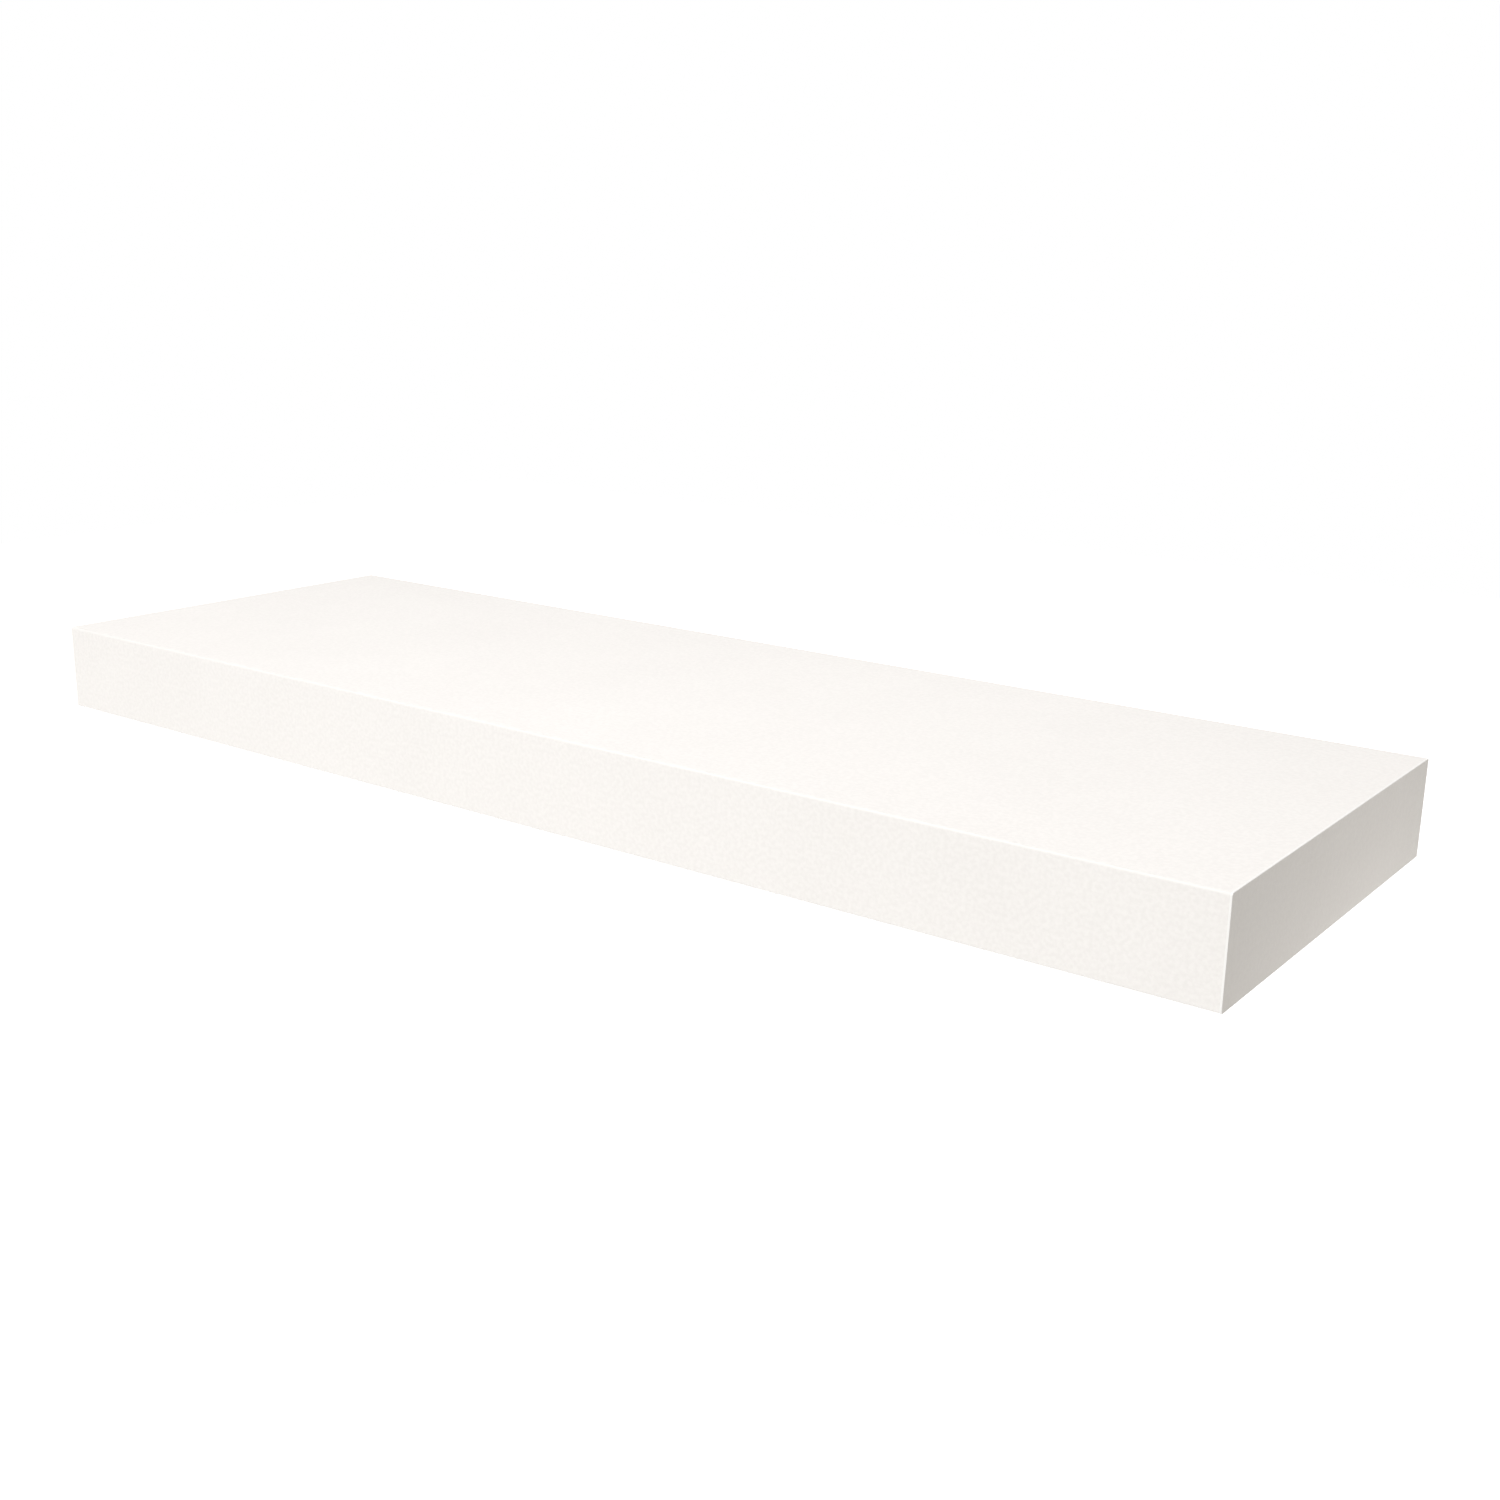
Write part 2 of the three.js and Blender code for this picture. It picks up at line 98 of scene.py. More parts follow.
# %% Add nodes, and empty a world for them
def add_node(tree, kind, inputs=None, **options):
    """A node with its options, and each input filled by a value or by another node's output."""
    node = tree.nodes.new(kind)
    for name, value in options.items():
        setattr(node, name, value)
    for name, value in (inputs or {}).items():
        if isinstance(value, bpy.types.NodeSocket):
            tree.links.new(value, node.inputs[name])
        else:
            node.inputs[name].default_value = value
    return node


def maths(tree, operation, *values, clamp=False):
    """One sum on numbers or on outputs of other nodes."""
    inputs = dict(enumerate(values))
    return add_node(tree, "ShaderNodeMath", inputs, operation=operation, use_clamp=clamp).outputs[0]


def empty_tree(owner):
    """The node tree of a world or a material, with nothing in it."""
    owner.use_nodes = True
    owner.node_tree.nodes.clear()
    return owner.node_tree


world = bpy.data.worlds.new("studio")
bpy.context.scene.world = world
sky = empty_tree(world)
print("world", world.name, "with", len(sky.nodes), "nodes so far")

# %% [markdown]
# ## Studio light
#
# In the photo the top and the front are nearly white and equally bright, while the end is in soft shade. A
# picture of a real studio could light the scene, but this script reads no picture. So the world is one plain
# tone for the light it gives, and white where it is seen or mirrored.

# %% Light the room
ROOM_TONE = (1.0, 0.985, 0.935, 1.0)
ROOM_LIGHT = 0.405
WHITE = (1.0, 1.0, 1.0, 1.0)


def seen_directly(tree):
    """1 for what is seen, mirrored or seen through glass, and 0 for the light that falls on things."""
    rays = add_node(tree, "ShaderNodeLightPath").outputs
    seen = maths(tree, "MAXIMUM", rays["Is Camera Ray"], rays["Is Glossy Ray"])
    return maths(tree, "MAXIMUM", seen, rays["Is Transmission Ray"])


room = add_node(sky, "ShaderNodeBackground", {"Color": ROOM_TONE, "Strength": ROOM_LIGHT})
white = add_node(sky, "ShaderNodeBackground", {"Color": WHITE, "Strength": 1.0})
blend = add_node(sky, "ShaderNodeMixShader", {0: seen_directly(sky), 1: room.outputs[0], 2: white.outputs[0]})
add_node(sky, "ShaderNodeOutputWorld", {"Surface": blend.outputs[0]})
print("room light", ROOM_LIGHT)

# %% [markdown]
# One lamp at 45 degrees would light the top and the front alike, but it would burn out the edge between them,
# which faces it squarely. So there are two: a large one high up for the top, and one far out and a little
# lower for the front. The photo's end is lightest at its foot and towards the wall, so a small, very weak
# lamp hangs close below it, like a white card that throws some light back.

# %% Hang the lamps
SLAB_MIDDLE = (0.0, 0.0, 0.0)


def softbox(name, place, aim, watts, size, tint, mirrored=False):
    """An unseen square lamp that faces its aim, and shows in reflections only if mirrored."""
    data = bpy.data.lights.new(name, "AREA")
    data.energy = watts
    data.size = size
    data.color = tint
    lamp = new_object(name, data)
    lamp.location = place
    lamp.rotation_mode = "QUATERNION"
    lamp.rotation_quaternion = (Vector(aim) - Vector(place)).to_track_quat("-Z", "Y")
    lamp.visible_camera = False
    lamp.visible_glossy = mirrored
    print(name, "at", place, "with", watts, "W")


softbox("high_lamp", (0, -0.75, 1.9), SLAB_MIDDLE, watts=31.4, size=1.4, tint=(0.97, 0.98, 1), mirrored=True)
softbox("low_lamp", (-0.18, -2.2, -0.68), SLAB_MIDDLE, watts=18.1, size=0.55, tint=(0.955, 0.977, 1))
softbox("end_card", (0.52, -0.075, -0.22), (0.32, -0.075, -0.22), watts=0.3, size=0.06, tint=(1, 0.98, 0.96))

# %% [markdown]
# ## Floor
#
# The slab hangs well above a plain pale floor, which throws light up onto it. The photo's background is pure
# white. More light would make the floor white too, but would burn out the slab. Instead the floor glows a
# little where it is looked at: weakly under the shelf, so that its shadow stays, and fully further out.

# %% Lay the floor
FLOOR_LEVEL = -1.3
FLOOR_REACH = 8.0
SQUARE = ((-1, -1), (1, -1), (1, 1), (-1, 1))

floor_data = bpy.data.meshes.new("floor")
floor_corners = [(x * FLOOR_REACH, y * FLOOR_REACH, FLOOR_LEVEL) for x, y in SQUARE]
floor_data.from_pydata(floor_corners, [], [(0, 1, 2, 3)])
floor = new_object("floor", floor_data)
print("floor at", FLOOR_LEVEL, "m")

# %% [markdown]
# Every material starts from the same shader, so a helper makes it. What is the same all over goes straight
# onto the shader. What changes over the surface comes in through nodes, as the floor's glow does.

# %% Paint the floor
FLOOR_COLOUR = (0.9, 0.89, 0.87, 1.0)
GLOW_RANGE = {"From Min": 0.4, "From Max": 1.6, "To Min": 0.3, "To Max": 1.0}


def new_finish(name, **fixed):
    """A material, its node tree, and the inputs of its shader, some with fixed values."""
    material = bpy.data.materials.new(name)
    tree = empty_tree(material)
    sockets = {socket.replace("_", " "): value for socket, value in fixed.items()}
    shader = add_node(tree, "ShaderNodeBsdfPrincipled", sockets)
    add_node(tree, "ShaderNodeOutputMaterial", {"Surface": shader.outputs[0]})
    return material, tree, shader.inputs


flat = {"Base_Color": FLOOR_COLOUR, "Roughness": 0.9, "Specular_IOR_Level": 0.0, "Emission_Color": WHITE}
floor_paint, tree, skin = new_finish("floor_paint", **flat)
place = add_node(tree, "ShaderNodeTexCoord").outputs["Object"]
level = add_node(tree, "ShaderNodeVectorMath", {0: place, 1: (1, 1, 0)}, operation="MULTIPLY").outputs[0]
reach = add_node(tree, "ShaderNodeVectorMath", {0: level}, operation="LENGTH").outputs["Value"]
glow = add_node(tree, "ShaderNodeMapRange", {"Value": reach, **GLOW_RANGE}, interpolation_type="SMOOTHSTEP")
seen_glow = maths(tree, "MULTIPLY", glow.outputs[0], seen_directly(tree))
tree.links.new(seen_glow, skin["Emission Strength"])
floor_data.materials.append(floor_paint)
print("paint", floor_paint.name, "with", len(tree.nodes), "nodes")

# %% [markdown]
# ## Shared patterns
#
# Foil, wood, paper and steel all vary a little in tone and have a fine tooth. Each material could hold its
# own noise nodes, but one node group, placed with other values, keeps them alike and easy to tune. Sizes are
# in metres, so 0.002 is a grain of 2 mm.

# %% Name the grain's sockets
EVEN = (1.0, 1.0, 1.0)


def new_group(name, inputs, outputs):
    """An empty group, what it is given and what it must make."""
    tree = bpy.data.node_groups.new(name, "ShaderNodeTree")
    for socket_name, default in inputs.items():
        kind = "NodeSocketVector" if isinstance(default, tuple) else "NodeSocketFloat"
        tree.interface.new_socket(socket_name, in_out="INPUT", socket_type=kind).default_value = default
    for socket_name in outputs:
        tree.interface.new_socket(socket_name, in_out="OUTPUT", socket_type="NodeSocketFloat")
    return tree, tree.nodes.new("NodeGroupInput").outputs, tree.nodes.new("NodeGroupOutput").inputs


GRAIN_INPUTS = {"Size": 0.01, "Stretch": EVEN, "Detail": 2.0, "Contrast": 1.5}
GRAIN, given, made = new_group("grain", GRAIN_INPUTS, ["Shade"])
print("group", GRAIN.name, "takes", *GRAIN_INPUTS)


# %% Grain: clouds, tooth or fibres, by its size and stretch
def scaled_place(tree, size, stretch):
    """The place on a piece, counted in grains of a size and stretch."""
    place = add_node(tree, "ShaderNodeTexCoord").outputs["Object"]
    grains = add_node(tree, "ShaderNodeVectorMath", {0: place, 1: stretch}, operation="DIVIDE").outputs[0]
    scaling = {0: grains, "Scale": maths(tree, "DIVIDE", 1.0, size)}
    return add_node(tree, "ShaderNodeVectorMath", scaling, operation="SCALE").outputs[0]


def noise(tree, place, scale, detail):
    """The outputs of a noise texture."""
    return add_node(tree, "ShaderNodeTexNoise", {"Vector": place, "Scale": scale, "Detail": detail}).outputs


def contrasted(tree, value, contrast):
    """The value pushed away from 0.5, and kept between 0 and 1."""
    return maths(tree, "MULTIPLY_ADD", maths(tree, "SUBTRACT", value, 0.5), contrast, 0.5, clamp=True)


grain_place = scaled_place(GRAIN, given["Size"], given["Stretch"])
grain_noise = noise(GRAIN, grain_place, 1.0, given["Detail"])[0]
GRAIN.links.new(contrasted(GRAIN, grain_noise, given["Contrast"]), made["Shade"])
print("group", GRAIN.name, "with", len(GRAIN.nodes), "nodes")


# %% Rubbed edge: the convex edges of a mesh, broken up by noise
def ranged(tree, value, low, high, start=0.0, end=1.0):
    """A number from low to high, as the value goes from start to end."""
    inputs = {"Value": value, "From Min": start, "From Max": end, "To Min": low, "To Max": high}
    return add_node(tree, "ShaderNodeMapRange", inputs).outputs[0]


RUBBED, given, made = new_group("rubbed_edge", {"Start": 0.52, "Full": 0.6, "Patch": 0.003}, ["Mask"])
sharpness = add_node(RUBBED, "ShaderNodeNewGeometry").outputs["Pointiness"]
edge = ranged(RUBBED, sharpness, 0.0, 1.0, given["Start"], given["Full"])
patches = noise(RUBBED, scaled_place(RUBBED, given["Patch"], EVEN), 1.0, 3.0)[0]
worn = maths(RUBBED, "MULTIPLY", edge, contrasted(RUBBED, patches, 2.5))
RUBBED.links.new(worn, made["Mask"])
print("group", RUBBED.name, "with", len(RUBBED.nodes), "nodes")

# %% [markdown]
# ## White foil
#
# The slab is covered in off-white paper foil with a satin coat. Close up it has a fine eggshell tooth of
# about 2 mm, and from further off faint clouds. A flat colour would look like plastic, so two layers of the
# grain group give the clouds and the tooth.


# %% Start the foil
def pattern(tree, group, **values):
    """The outputs of a group, placed in a material with its own values."""
    return add_node(tree, "ShaderNodeGroup", values, node_tree=group).outputs


satin_foil, tree, skin = new_finish("satin_foil", IOR=1.46, Specular_IOR_Level=0.35)
clouds = pattern(tree, GRAIN, Size=0.06, Detail=3.0, Contrast=1.2)["Shade"]
tooth = pattern(tree, GRAIN, Size=0.002, Detail=2.0, Contrast=4.0)["Shade"]
print("foil starts with", len(tree.nodes), "nodes")

# %% [markdown]
# A mean of the two patterns picks a tone between a darker and a lighter white. A painted shade greys the
# upper fold and tones down its highlight there. A painted highlight whitens the lower fold and the bands'
# softened edges. Both are read from marks that the meshes carry.

# %% Colour the foil
FOIL_LOW, FOIL_HIGH = (0.889, 0.856, 0.829), (0.965, 0.933, 0.906)
# Painted shade for the upper fold, and a painted highlight for the lower fold and the bands' edges.
FOIL_PAINTED_SHADE, FOIL_PAINTED_HIGHLIGHT = (0.907, 0.878, 0.853), (0.975, 0.955, 0.935)


def mixed(tree, share, first, second):
    """A colour between two others, by a share of 0 to 1."""
    first, second = ((*colour, 1.0) if isinstance(colour, tuple) else colour for colour in (first, second))
    return add_node(tree, "ShaderNodeMix", {0: share, 6: first, 7: second}, data_type="RGBA").outputs[2]


def blended(tree, second_part, first, second):
    """The mean of two patterns, of which the second makes up the given part."""
    return add_node(tree, "ShaderNodeMix", {0: second_part, 2: first, 3: second}).outputs[0]


foil_colour = mixed(tree, blended(tree, 0.55, clouds, tooth), FOIL_LOW, FOIL_HIGH)
# Painted light: one mark greys the upper fold with painted shade, the other whitens with a painted highlight.
for mark_name, marked_colour in (("painted_fold_shade", FOIL_PAINTED_SHADE), ("painted_highlight", FOIL_PAINTED_HIGHLIGHT)):
    marked = add_node(tree, "ShaderNodeAttribute", attribute_name=mark_name).outputs["Fac"]
    foil_colour = mixed(tree, marked, foil_colour, marked_colour)
print("foil tones from", FOIL_LOW, "to", FOIL_HIGH)

# %% [markdown]
# The tooth also roughens the surface and raises it by some thousandths of a millimetre. Displacement could
# raise the mesh itself, but so small a height only shows in how it catches the light, and a bump gives just
# that.


# %% Give the foil its surface
def give_surface(finish, skin, colour, grain, roughness, depth, height=None):
    """A colour, a range of roughness that follows the grain, and a bump with a depth in mm."""
    tree = finish.node_tree
    tree.links.new(colour, skin["Base Color"])
    tree.links.new(ranged(tree, grain, *roughness), skin["Roughness"])
    relief = {"Height": grain if height is None else height, "Distance": depth * MM}
    tree.links.new(add_node(tree, "ShaderNodeBump", relief).outputs[0], skin["Normal"])
    print("finish", finish.name, "with", len(tree.nodes), "nodes")


give_surface(satin_foil, skin, foil_colour, tooth, roughness=(0.46, 0.6), depth=0.008)

# %% [markdown]
# ## Meshes from rings
#
# Nearly every piece here is a closed form whose section changes along one line: the wrap, the bands, the
# rods, the screws. Booleans of primitives could make them, but rings of points, skinned one to the next, give
# clean faces and full control of every rounding.


# %% Skin rings into a mesh
def skinned(rings, closed=False):
    """Points and faces over rings of equal length. A row of rings that isn't closed gets two caps."""
    count = len(rings[0])
    points = [point for ring in rings for point in ring]
    starts = [i * count for i in range(len(rings))]
    pairs = list(zip(starts, starts[1:])) + ([(starts[-1], 0)] if closed else [])
    faces = [(a + i, a + (i + 1) % count, b + (i + 1) % count, b + i) for a, b in pairs for i in range(count)]
    if not closed:
        faces.append(tuple(range(count))[::-1])
        faces.append(tuple(starts[-1] + i for i in range(count)))
    return points, faces


print("two rings of three points give", len(skinned([[(0, 0, 0)] * 3] * 2)[1]), "faces")

# %% [markdown]
# ## Decor wrap
#
# One sheet of foil is folded round the top, the front and the underside, so there is no seam at the front.
# Its two folds have a 1.2 mm radius and catch the light as fine bright lines. A cube with a Bevel modifier
# would give the same outside, but the foil is thin and open at the back. So its U section is drawn as an
# outer and an inner line with equal numbers of points, and run along the shelf.


# %% Draw the wrap's section
def spaced(start, end, steps):
    """Evenly spaced numbers from a start to an end."""
    return [start + (end - start) * i / steps for i in range(steps + 1)]


def arc(centre, radius, start, end, steps):
    """Points on an arc between two angles in degrees."""
    angles = [radians(angle) for angle in spaced(start, end, steps)]
    return [(centre[0] + radius * cos(a), centre[1] + radius * sin(a)) for a in angles]


FOLD_STEPS = 12
FOLD_RADIUS = 1.2 * MM
WRAP_THICKNESS = 0.6 * MM
wrap_low, wrap_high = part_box("decor_wrap")
fold_y, fold_z = wrap_low.y + FOLD_RADIUS, wrap_high.z - FOLD_RADIUS


def slab_line(inset, back):
    """The slab's line in Y and Z, from its back edge above, round the front, to its back edge below."""
    radius, edge = FOLD_RADIUS - inset, wrap_high.z - inset
    upper = arc((fold_y, fold_z), radius, 90, 180, FOLD_STEPS)
    lower = arc((fold_y, -fold_z), radius, 180, 270, FOLD_STEPS)
    return [(back, edge), *upper, *lower, (back, -edge)]


wrap_section = slab_line(0.0, wrap_high.y) + slab_line(WRAP_THICKNESS, wrap_high.y)[::-1]
print("wrap section of", len(wrap_section), "points")

# %% [markdown]
# One polygon over the end of the U could cross its gap, so a strip of small faces joins the two lines there.

# %% Fold the wrap
BAND_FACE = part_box("end_band_right")[0].x


def new_piece(name, points, faces, finish, place=Matrix()):
    """A mesh object with its faces turned outwards and its finish."""
    mesh = bpy.data.meshes.new(name)
    mesh.from_pydata(points, [], faces)
    form = bmesh.new()
    form.from_mesh(mesh)
    bmesh.ops.recalc_face_normals(form, faces=form.faces)
    form.to_mesh(mesh)
    form.free()
    mesh.materials.append(finish)
    piece = new_object(name, mesh)
    piece.matrix_world = place
    return piece


wrap_rings = [[(x, y, z) for y, z in wrap_section] for x in (-BAND_FACE, BAND_FACE)]
points, faces = skinned(wrap_rings)
faces = faces[:-2]
count = len(wrap_section)
for start, order in ((0, 1), (count, -1)):
    for outer in range(count // 2 - 1):
        inner = count - 1 - outer
        faces.append(tuple(start + k for k in (outer, outer + 1, inner - 1, inner))[::order])
foil_wrap = new_piece("foil_wrap", points, faces, satin_foil)
print("wrap", round(2 * BAND_FACE, 4), "m long")

# %% [markdown]
# Two holes in the underside let a hex key reach the grub screws. They are drilled through the finished slab,
# so a Boolean modifier cuts them the same way. The drill is a profile of radius and height, turned about Z.
# It flares at the mouth, because the foil is pressed in a little round the hole.

# %% Turn the drill
HOLE_RADIUS, HOLE_FLARE, HOLE_DEPTH = 3.75, 0.35, 3.0


def even_turns(count):
    """Evenly spaced shares of a whole turn."""
    return [i / count for i in range(count)]


def ring_at(height, turns, radius_at):
    """One ring of points in metres, from a height and a radius at each turn in mm."""
    radii = [(radius_at(turn) * MM, 2 * pi * turn) for turn in turns]
    return [(radius * cos(angle), radius * sin(angle), height * MM) for radius, angle in radii]


def turned(profile, turns):
    """Rings in metres for a profile of (radius, height) pairs in mm, turned about Z."""
    return [ring_at(height, turns, lambda turn: radius) for radius, height in profile]


wrap_foot = wrap_low.z / MM
drill_profile = [
    (HOLE_RADIUS + 2 * HOLE_FLARE, wrap_foot - HOLE_FLARE),
    (HOLE_RADIUS, wrap_foot + HOLE_FLARE),
    (HOLE_RADIUS, wrap_foot + HOLE_DEPTH),
]
drill_rings = turned(drill_profile, even_turns(64))
print("drill", 2 * HOLE_RADIUS, "mm wide")

# %% [markdown]
# A modifier could stay on the wrap, but then the folds couldn't be marked on the cut mesh. So it is applied
# at once.

# %% Drill the two key holes
LOCK_SIDES = ("left", "right")


def shown_mesh(thing):
    """A new mesh of what an object shows, with its modifiers or its curve's surface."""
    bpy.context.view_layer.update()
    return bpy.data.meshes.new_from_object(thing.evaluated_get(bpy.context.evaluated_depsgraph_get()))


def cut_away(piece, cutter):
    """Takes the cutter's form out of the piece."""
    boolean = piece.modifiers.new("cut", "BOOLEAN")
    boolean.object = cutter
    boolean.solver = "EXACT"
    piece.data = shown_mesh(piece)
    piece.modifiers.remove(boolean)
    bpy.data.objects.remove(cutter)


def standing_in(low, high, z):
    """The place in the middle of a box, at a height."""
    return Matrix.Translation(((low.x + high.x) / 2, (low.y + high.y) / 2, z))


for side in LOCK_SIDES:
    axis = standing_in(*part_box(f"lock_screw_{side}"), 0)
    cut_away(foil_wrap, new_piece(f"drill_{side}", *skinned(drill_rings), satin_foil, axis))
print("drilled wrap has", len(foil_wrap.data.polygons), "faces")

# %% [markdown]
# The material reads two marks of painted light: a painted shade on the upper fold, and a painted highlight on
# the lower one. Each is 0 on the flats and 1 in the middle of the fold, by how far round the arc a vertex
# lies. Vertex paint could hold it too, but a named attribute is made for such numbers.


# %% Mark the folds
def mark(piece, name, share_at):
    """Stores a share of 0 to 1 at each vertex, under a name."""
    shares = piece.data.attributes.new(name, "FLOAT", "POINT")
    for vertex in piece.data.vertices:
        shares.data[vertex.index].value = share_at(vertex.co)


def fold_share(height, depth):
    """How far round a fold a point lies: 0 at both ends of the arc and 1 in its middle."""
    up, out = height - fold_z, fold_y - depth
    return sin(2 * atan2(up, out)) if up > 0 and out > 0 else 0.0


# Painted shade on the upper fold, to tone down its highlight.
mark(foil_wrap, "painted_fold_shade", lambda co: fold_share(co.z, co.y))
# Painted highlight on the lower fold, as if lit from below.
mark(foil_wrap, "painted_highlight", lambda co: fold_share(-co.z, co.y))
print("marks on", len(foil_wrap.data.vertices), "vertices of the wrap")

# %% [markdown]
# Smooth shading hides the small flats of each rounding, but would also blur the real edges. So it stops where
# the faces turn by more than 30 degrees, and a Weighted Normal modifier keeps the large faces flat. The
# finished wrap then takes the place of its CAD node and rides on the shelf.


# %% Shade the wrap and seat it
def seat(piece, body, slot_name, *nodes, angle=30.0):
    """Shades a piece. It rides on a body and stands for CAD nodes. The slot name is not used."""
    piece.data.shade_smooth()
    piece.data.set_sharp_from_angle(angle=radians(angle))
    piece.modifiers.new("weigh", "WEIGHTED_NORMAL").keep_sharp = True
    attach(piece, body)
    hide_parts(*nodes)
    print(piece.name, "has", len(piece.data.polygons), "faces")


seat(foil_wrap, "shelf", "white_foil", "decor_wrap")

# %% [markdown]
# ## End bands
#
# A strip of the same foil on a 1 mm band closes each end. Its edges are trimmed flush and softened by a third
# of a millimetre, and the front one shows in the photo as a thin bright line. The band is a stack of rings:
# the end's outline again and again, smaller and further out, round a quarter circle. All but its face is
# marked with a painted highlight, which whitens the softened edges.

# %% Band the ends
BAND_EDGE = 0.3 * MM
BAND_FACE_MARGIN = 0.02 * MM
BAND_STEPS = 6
for side, sign in (("left", -1), ("right", 1)):
    low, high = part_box(f"end_band_{side}")
    glued, face = sorted((abs(low.x), abs(high.x)))
    layers = [(glued, 0.0), *arc((face - BAND_EDGE, BAND_EDGE), BAND_EDGE, -90, 0, BAND_STEPS)]
    rings = [[(sign * x, y, z) for y, z in slab_line(inset, wrap_high.y - inset)] for x, inset in layers]
    band = new_piece(f"foil_band_{side}", *skinned(rings), satin_foil)
    # Painted highlight: every ring but the face is whitened, which brightens the softened edges.
    mark(band, "painted_highlight", lambda co: 1.0 if abs(co.x) < face - BAND_FACE_MARGIN else 0.0)
    seat(band, "shelf", "white_foil", f"end_band_{side}")

# %% [markdown]
# ## Zinc-plated steel
#
# The bracket is mild steel with a thin zinc coat: bluish grey, a little cloudy, brushed or drawn in one
# direction, and brighter on the edges, where bare metal shows. A picture of scratches is the usual way, but
# stretched grain does it without one, at any size. A function makes the finish, since the plate is brushed
# along its length, while the rods and screws are drawn along theirs.

# %% Plate the steel
ZINC_LOW, ZINC_HIGH = (0.36, 0.38, 0.41), (0.56, 0.58, 0.60)
ZINC_RUBBED = (0.72, 0.73, 0.74)


def zinc_finish(name, low, high, streak, roughness):
    """Zinc-plated steel with streaks drawn out in one direction."""
    finish, tree, skin = new_finish(name, Metallic=1.0)
    clouds = pattern(tree, GRAIN, Size=0.014, Detail=4.0, Contrast=1.8)["Shade"]
    streaks = pattern(tree, GRAIN, Size=0.0004, Stretch=streak, Detail=3.0, Contrast=2.0)["Shade"]
    plated = mixed(tree, blended(tree, 0.26, clouds, streaks), low, high)
    rubbed = pattern(tree, RUBBED, Start=0.53, Full=0.62, Patch=0.002)["Mask"]
    give_surface(finish, skin, mixed(tree, rubbed, plated, ZINC_RUBBED), streaks, roughness, depth=0.003)
    return finish


brushed_zinc = zinc_finish("brushed_zinc", ZINC_LOW, ZINC_HIGH, (40, 1, 1), (0.30, 0.46))
drawn_zinc = zinc_finish("drawn_zinc", ZINC_LOW, ZINC_HIGH, (1, 1, 30), (0.34, 0.5))

# %% [markdown]
# ## Wall plate
#
# The plate is cut from 4 mm steel, with rounded corners and four slots, so that the screws can find the
# studs. Holes are awkward in a ring mesh, but a filled 2D curve knows them by itself: the outline is one
# spline, each slot another, and the curve's own bevel softens their edges. The bevel grows the steel by its
# own size, so the outline is drawn that much smaller and the slots that much wider.

# %% Draw the plate's outline and slots
SPOTS = ("outer_left", "inner_left", "inner_right", "outer_right")
PLATE_EDGE = 0.5 * MM
PLATE_CORNER, CORNER_STEPS = 4 * MM, 10
SLOT_RADIUS, SLOT_STEPS = 3 * MM, 16
SLOT_TRAVEL = 6 * MM
plate_low, plate_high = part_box("wall_plate")
corner_x, corner_z = plate_high.x - PLATE_CORNER, plate_high.z - PLATE_CORNER
outline = []
for x, z, start in ((1, 1, 0), (-1, 1, 90), (-1, -1, 180), (1, -1, 270)):
    centre = (x * corner_x, z * corner_z)
    outline += arc(centre, PLATE_CORNER - PLATE_EDGE, start, start + 90, CORNER_STEPS)
outlines = [outline]
for spot in SPOTS:
    low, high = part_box(f"washer_{spot}")
    middle, half, radius = (low.x + high.x) / 2, SLOT_TRAVEL / 2, SLOT_RADIUS + PLATE_EDGE
    right_end = arc((middle + half, 0), radius, -90, 90, SLOT_STEPS)
    outlines.append(right_end + arc((middle - half, 0), radius, 90, 270, SLOT_STEPS))
print("outline and slots:", len(outlines), "splines")

# %% Cut the wall plate: the curve as a mesh, with its doubled points merged
DOUBLES_REACH = 0.001 * MM
plate_curve = bpy.data.curves.new("plate_outline", "CURVE")
plate_curve.dimensions = "2D"
plate_curve.fill_mode = "BOTH"
plate_curve.extrude = (plate_high.y - plate_low.y) / 2 - PLATE_EDGE
plate_curve.bevel_depth = PLATE_EDGE
plate_curve.bevel_resolution = 3
for outline in outlines:
    spline = plate_curve.splines.new("POLY")
    spline.points.add(len(outline) - 1)
    for point, (x, z) in zip(spline.points, outline):
        point.co = (x, z, 0, 1)
    spline.use_cyclic_u = True
plate_shape = new_object("plate_outline", plate_curve)
form = bmesh.new()
form.from_mesh(shown_mesh(plate_shape))
bmesh.ops.remove_doubles(form, verts=form.verts, dist=DOUBLES_REACH)
points = [tuple(vertex.co) for vertex in form.verts]
faces = [tuple(vertex.index for vertex in face.verts) for face in form.faces]
form.free()
upright = Matrix.Rotation(pi / 2, 4, "X")
plate_place = Matrix.Translation((0, (plate_low.y + plate_high.y) / 2, 0)) @ upright
plate = new_piece("slotted_plate", points, faces, brushed_zinc, plate_place)
bpy.data.objects.remove(plate_shape)
seat(plate, "bracket", "zinc_steel", "wall_plate")

# %% [markdown]
# ## Rods
#
# Three 12 mm rods carry the slab. Each is cut off and chamfered, so that the slab finds its way onto it. All
# turned pieces of the bracket are built upright, and then laid over to point out of the wall.


# %% Turn the rods
def out_of_wall(low, high, y):
    """Lays an upright piece over in the middle of a box, with its top to the room."""
    return Matrix.Translation(((low.x + high.x) / 2, y, 0)) @ upright


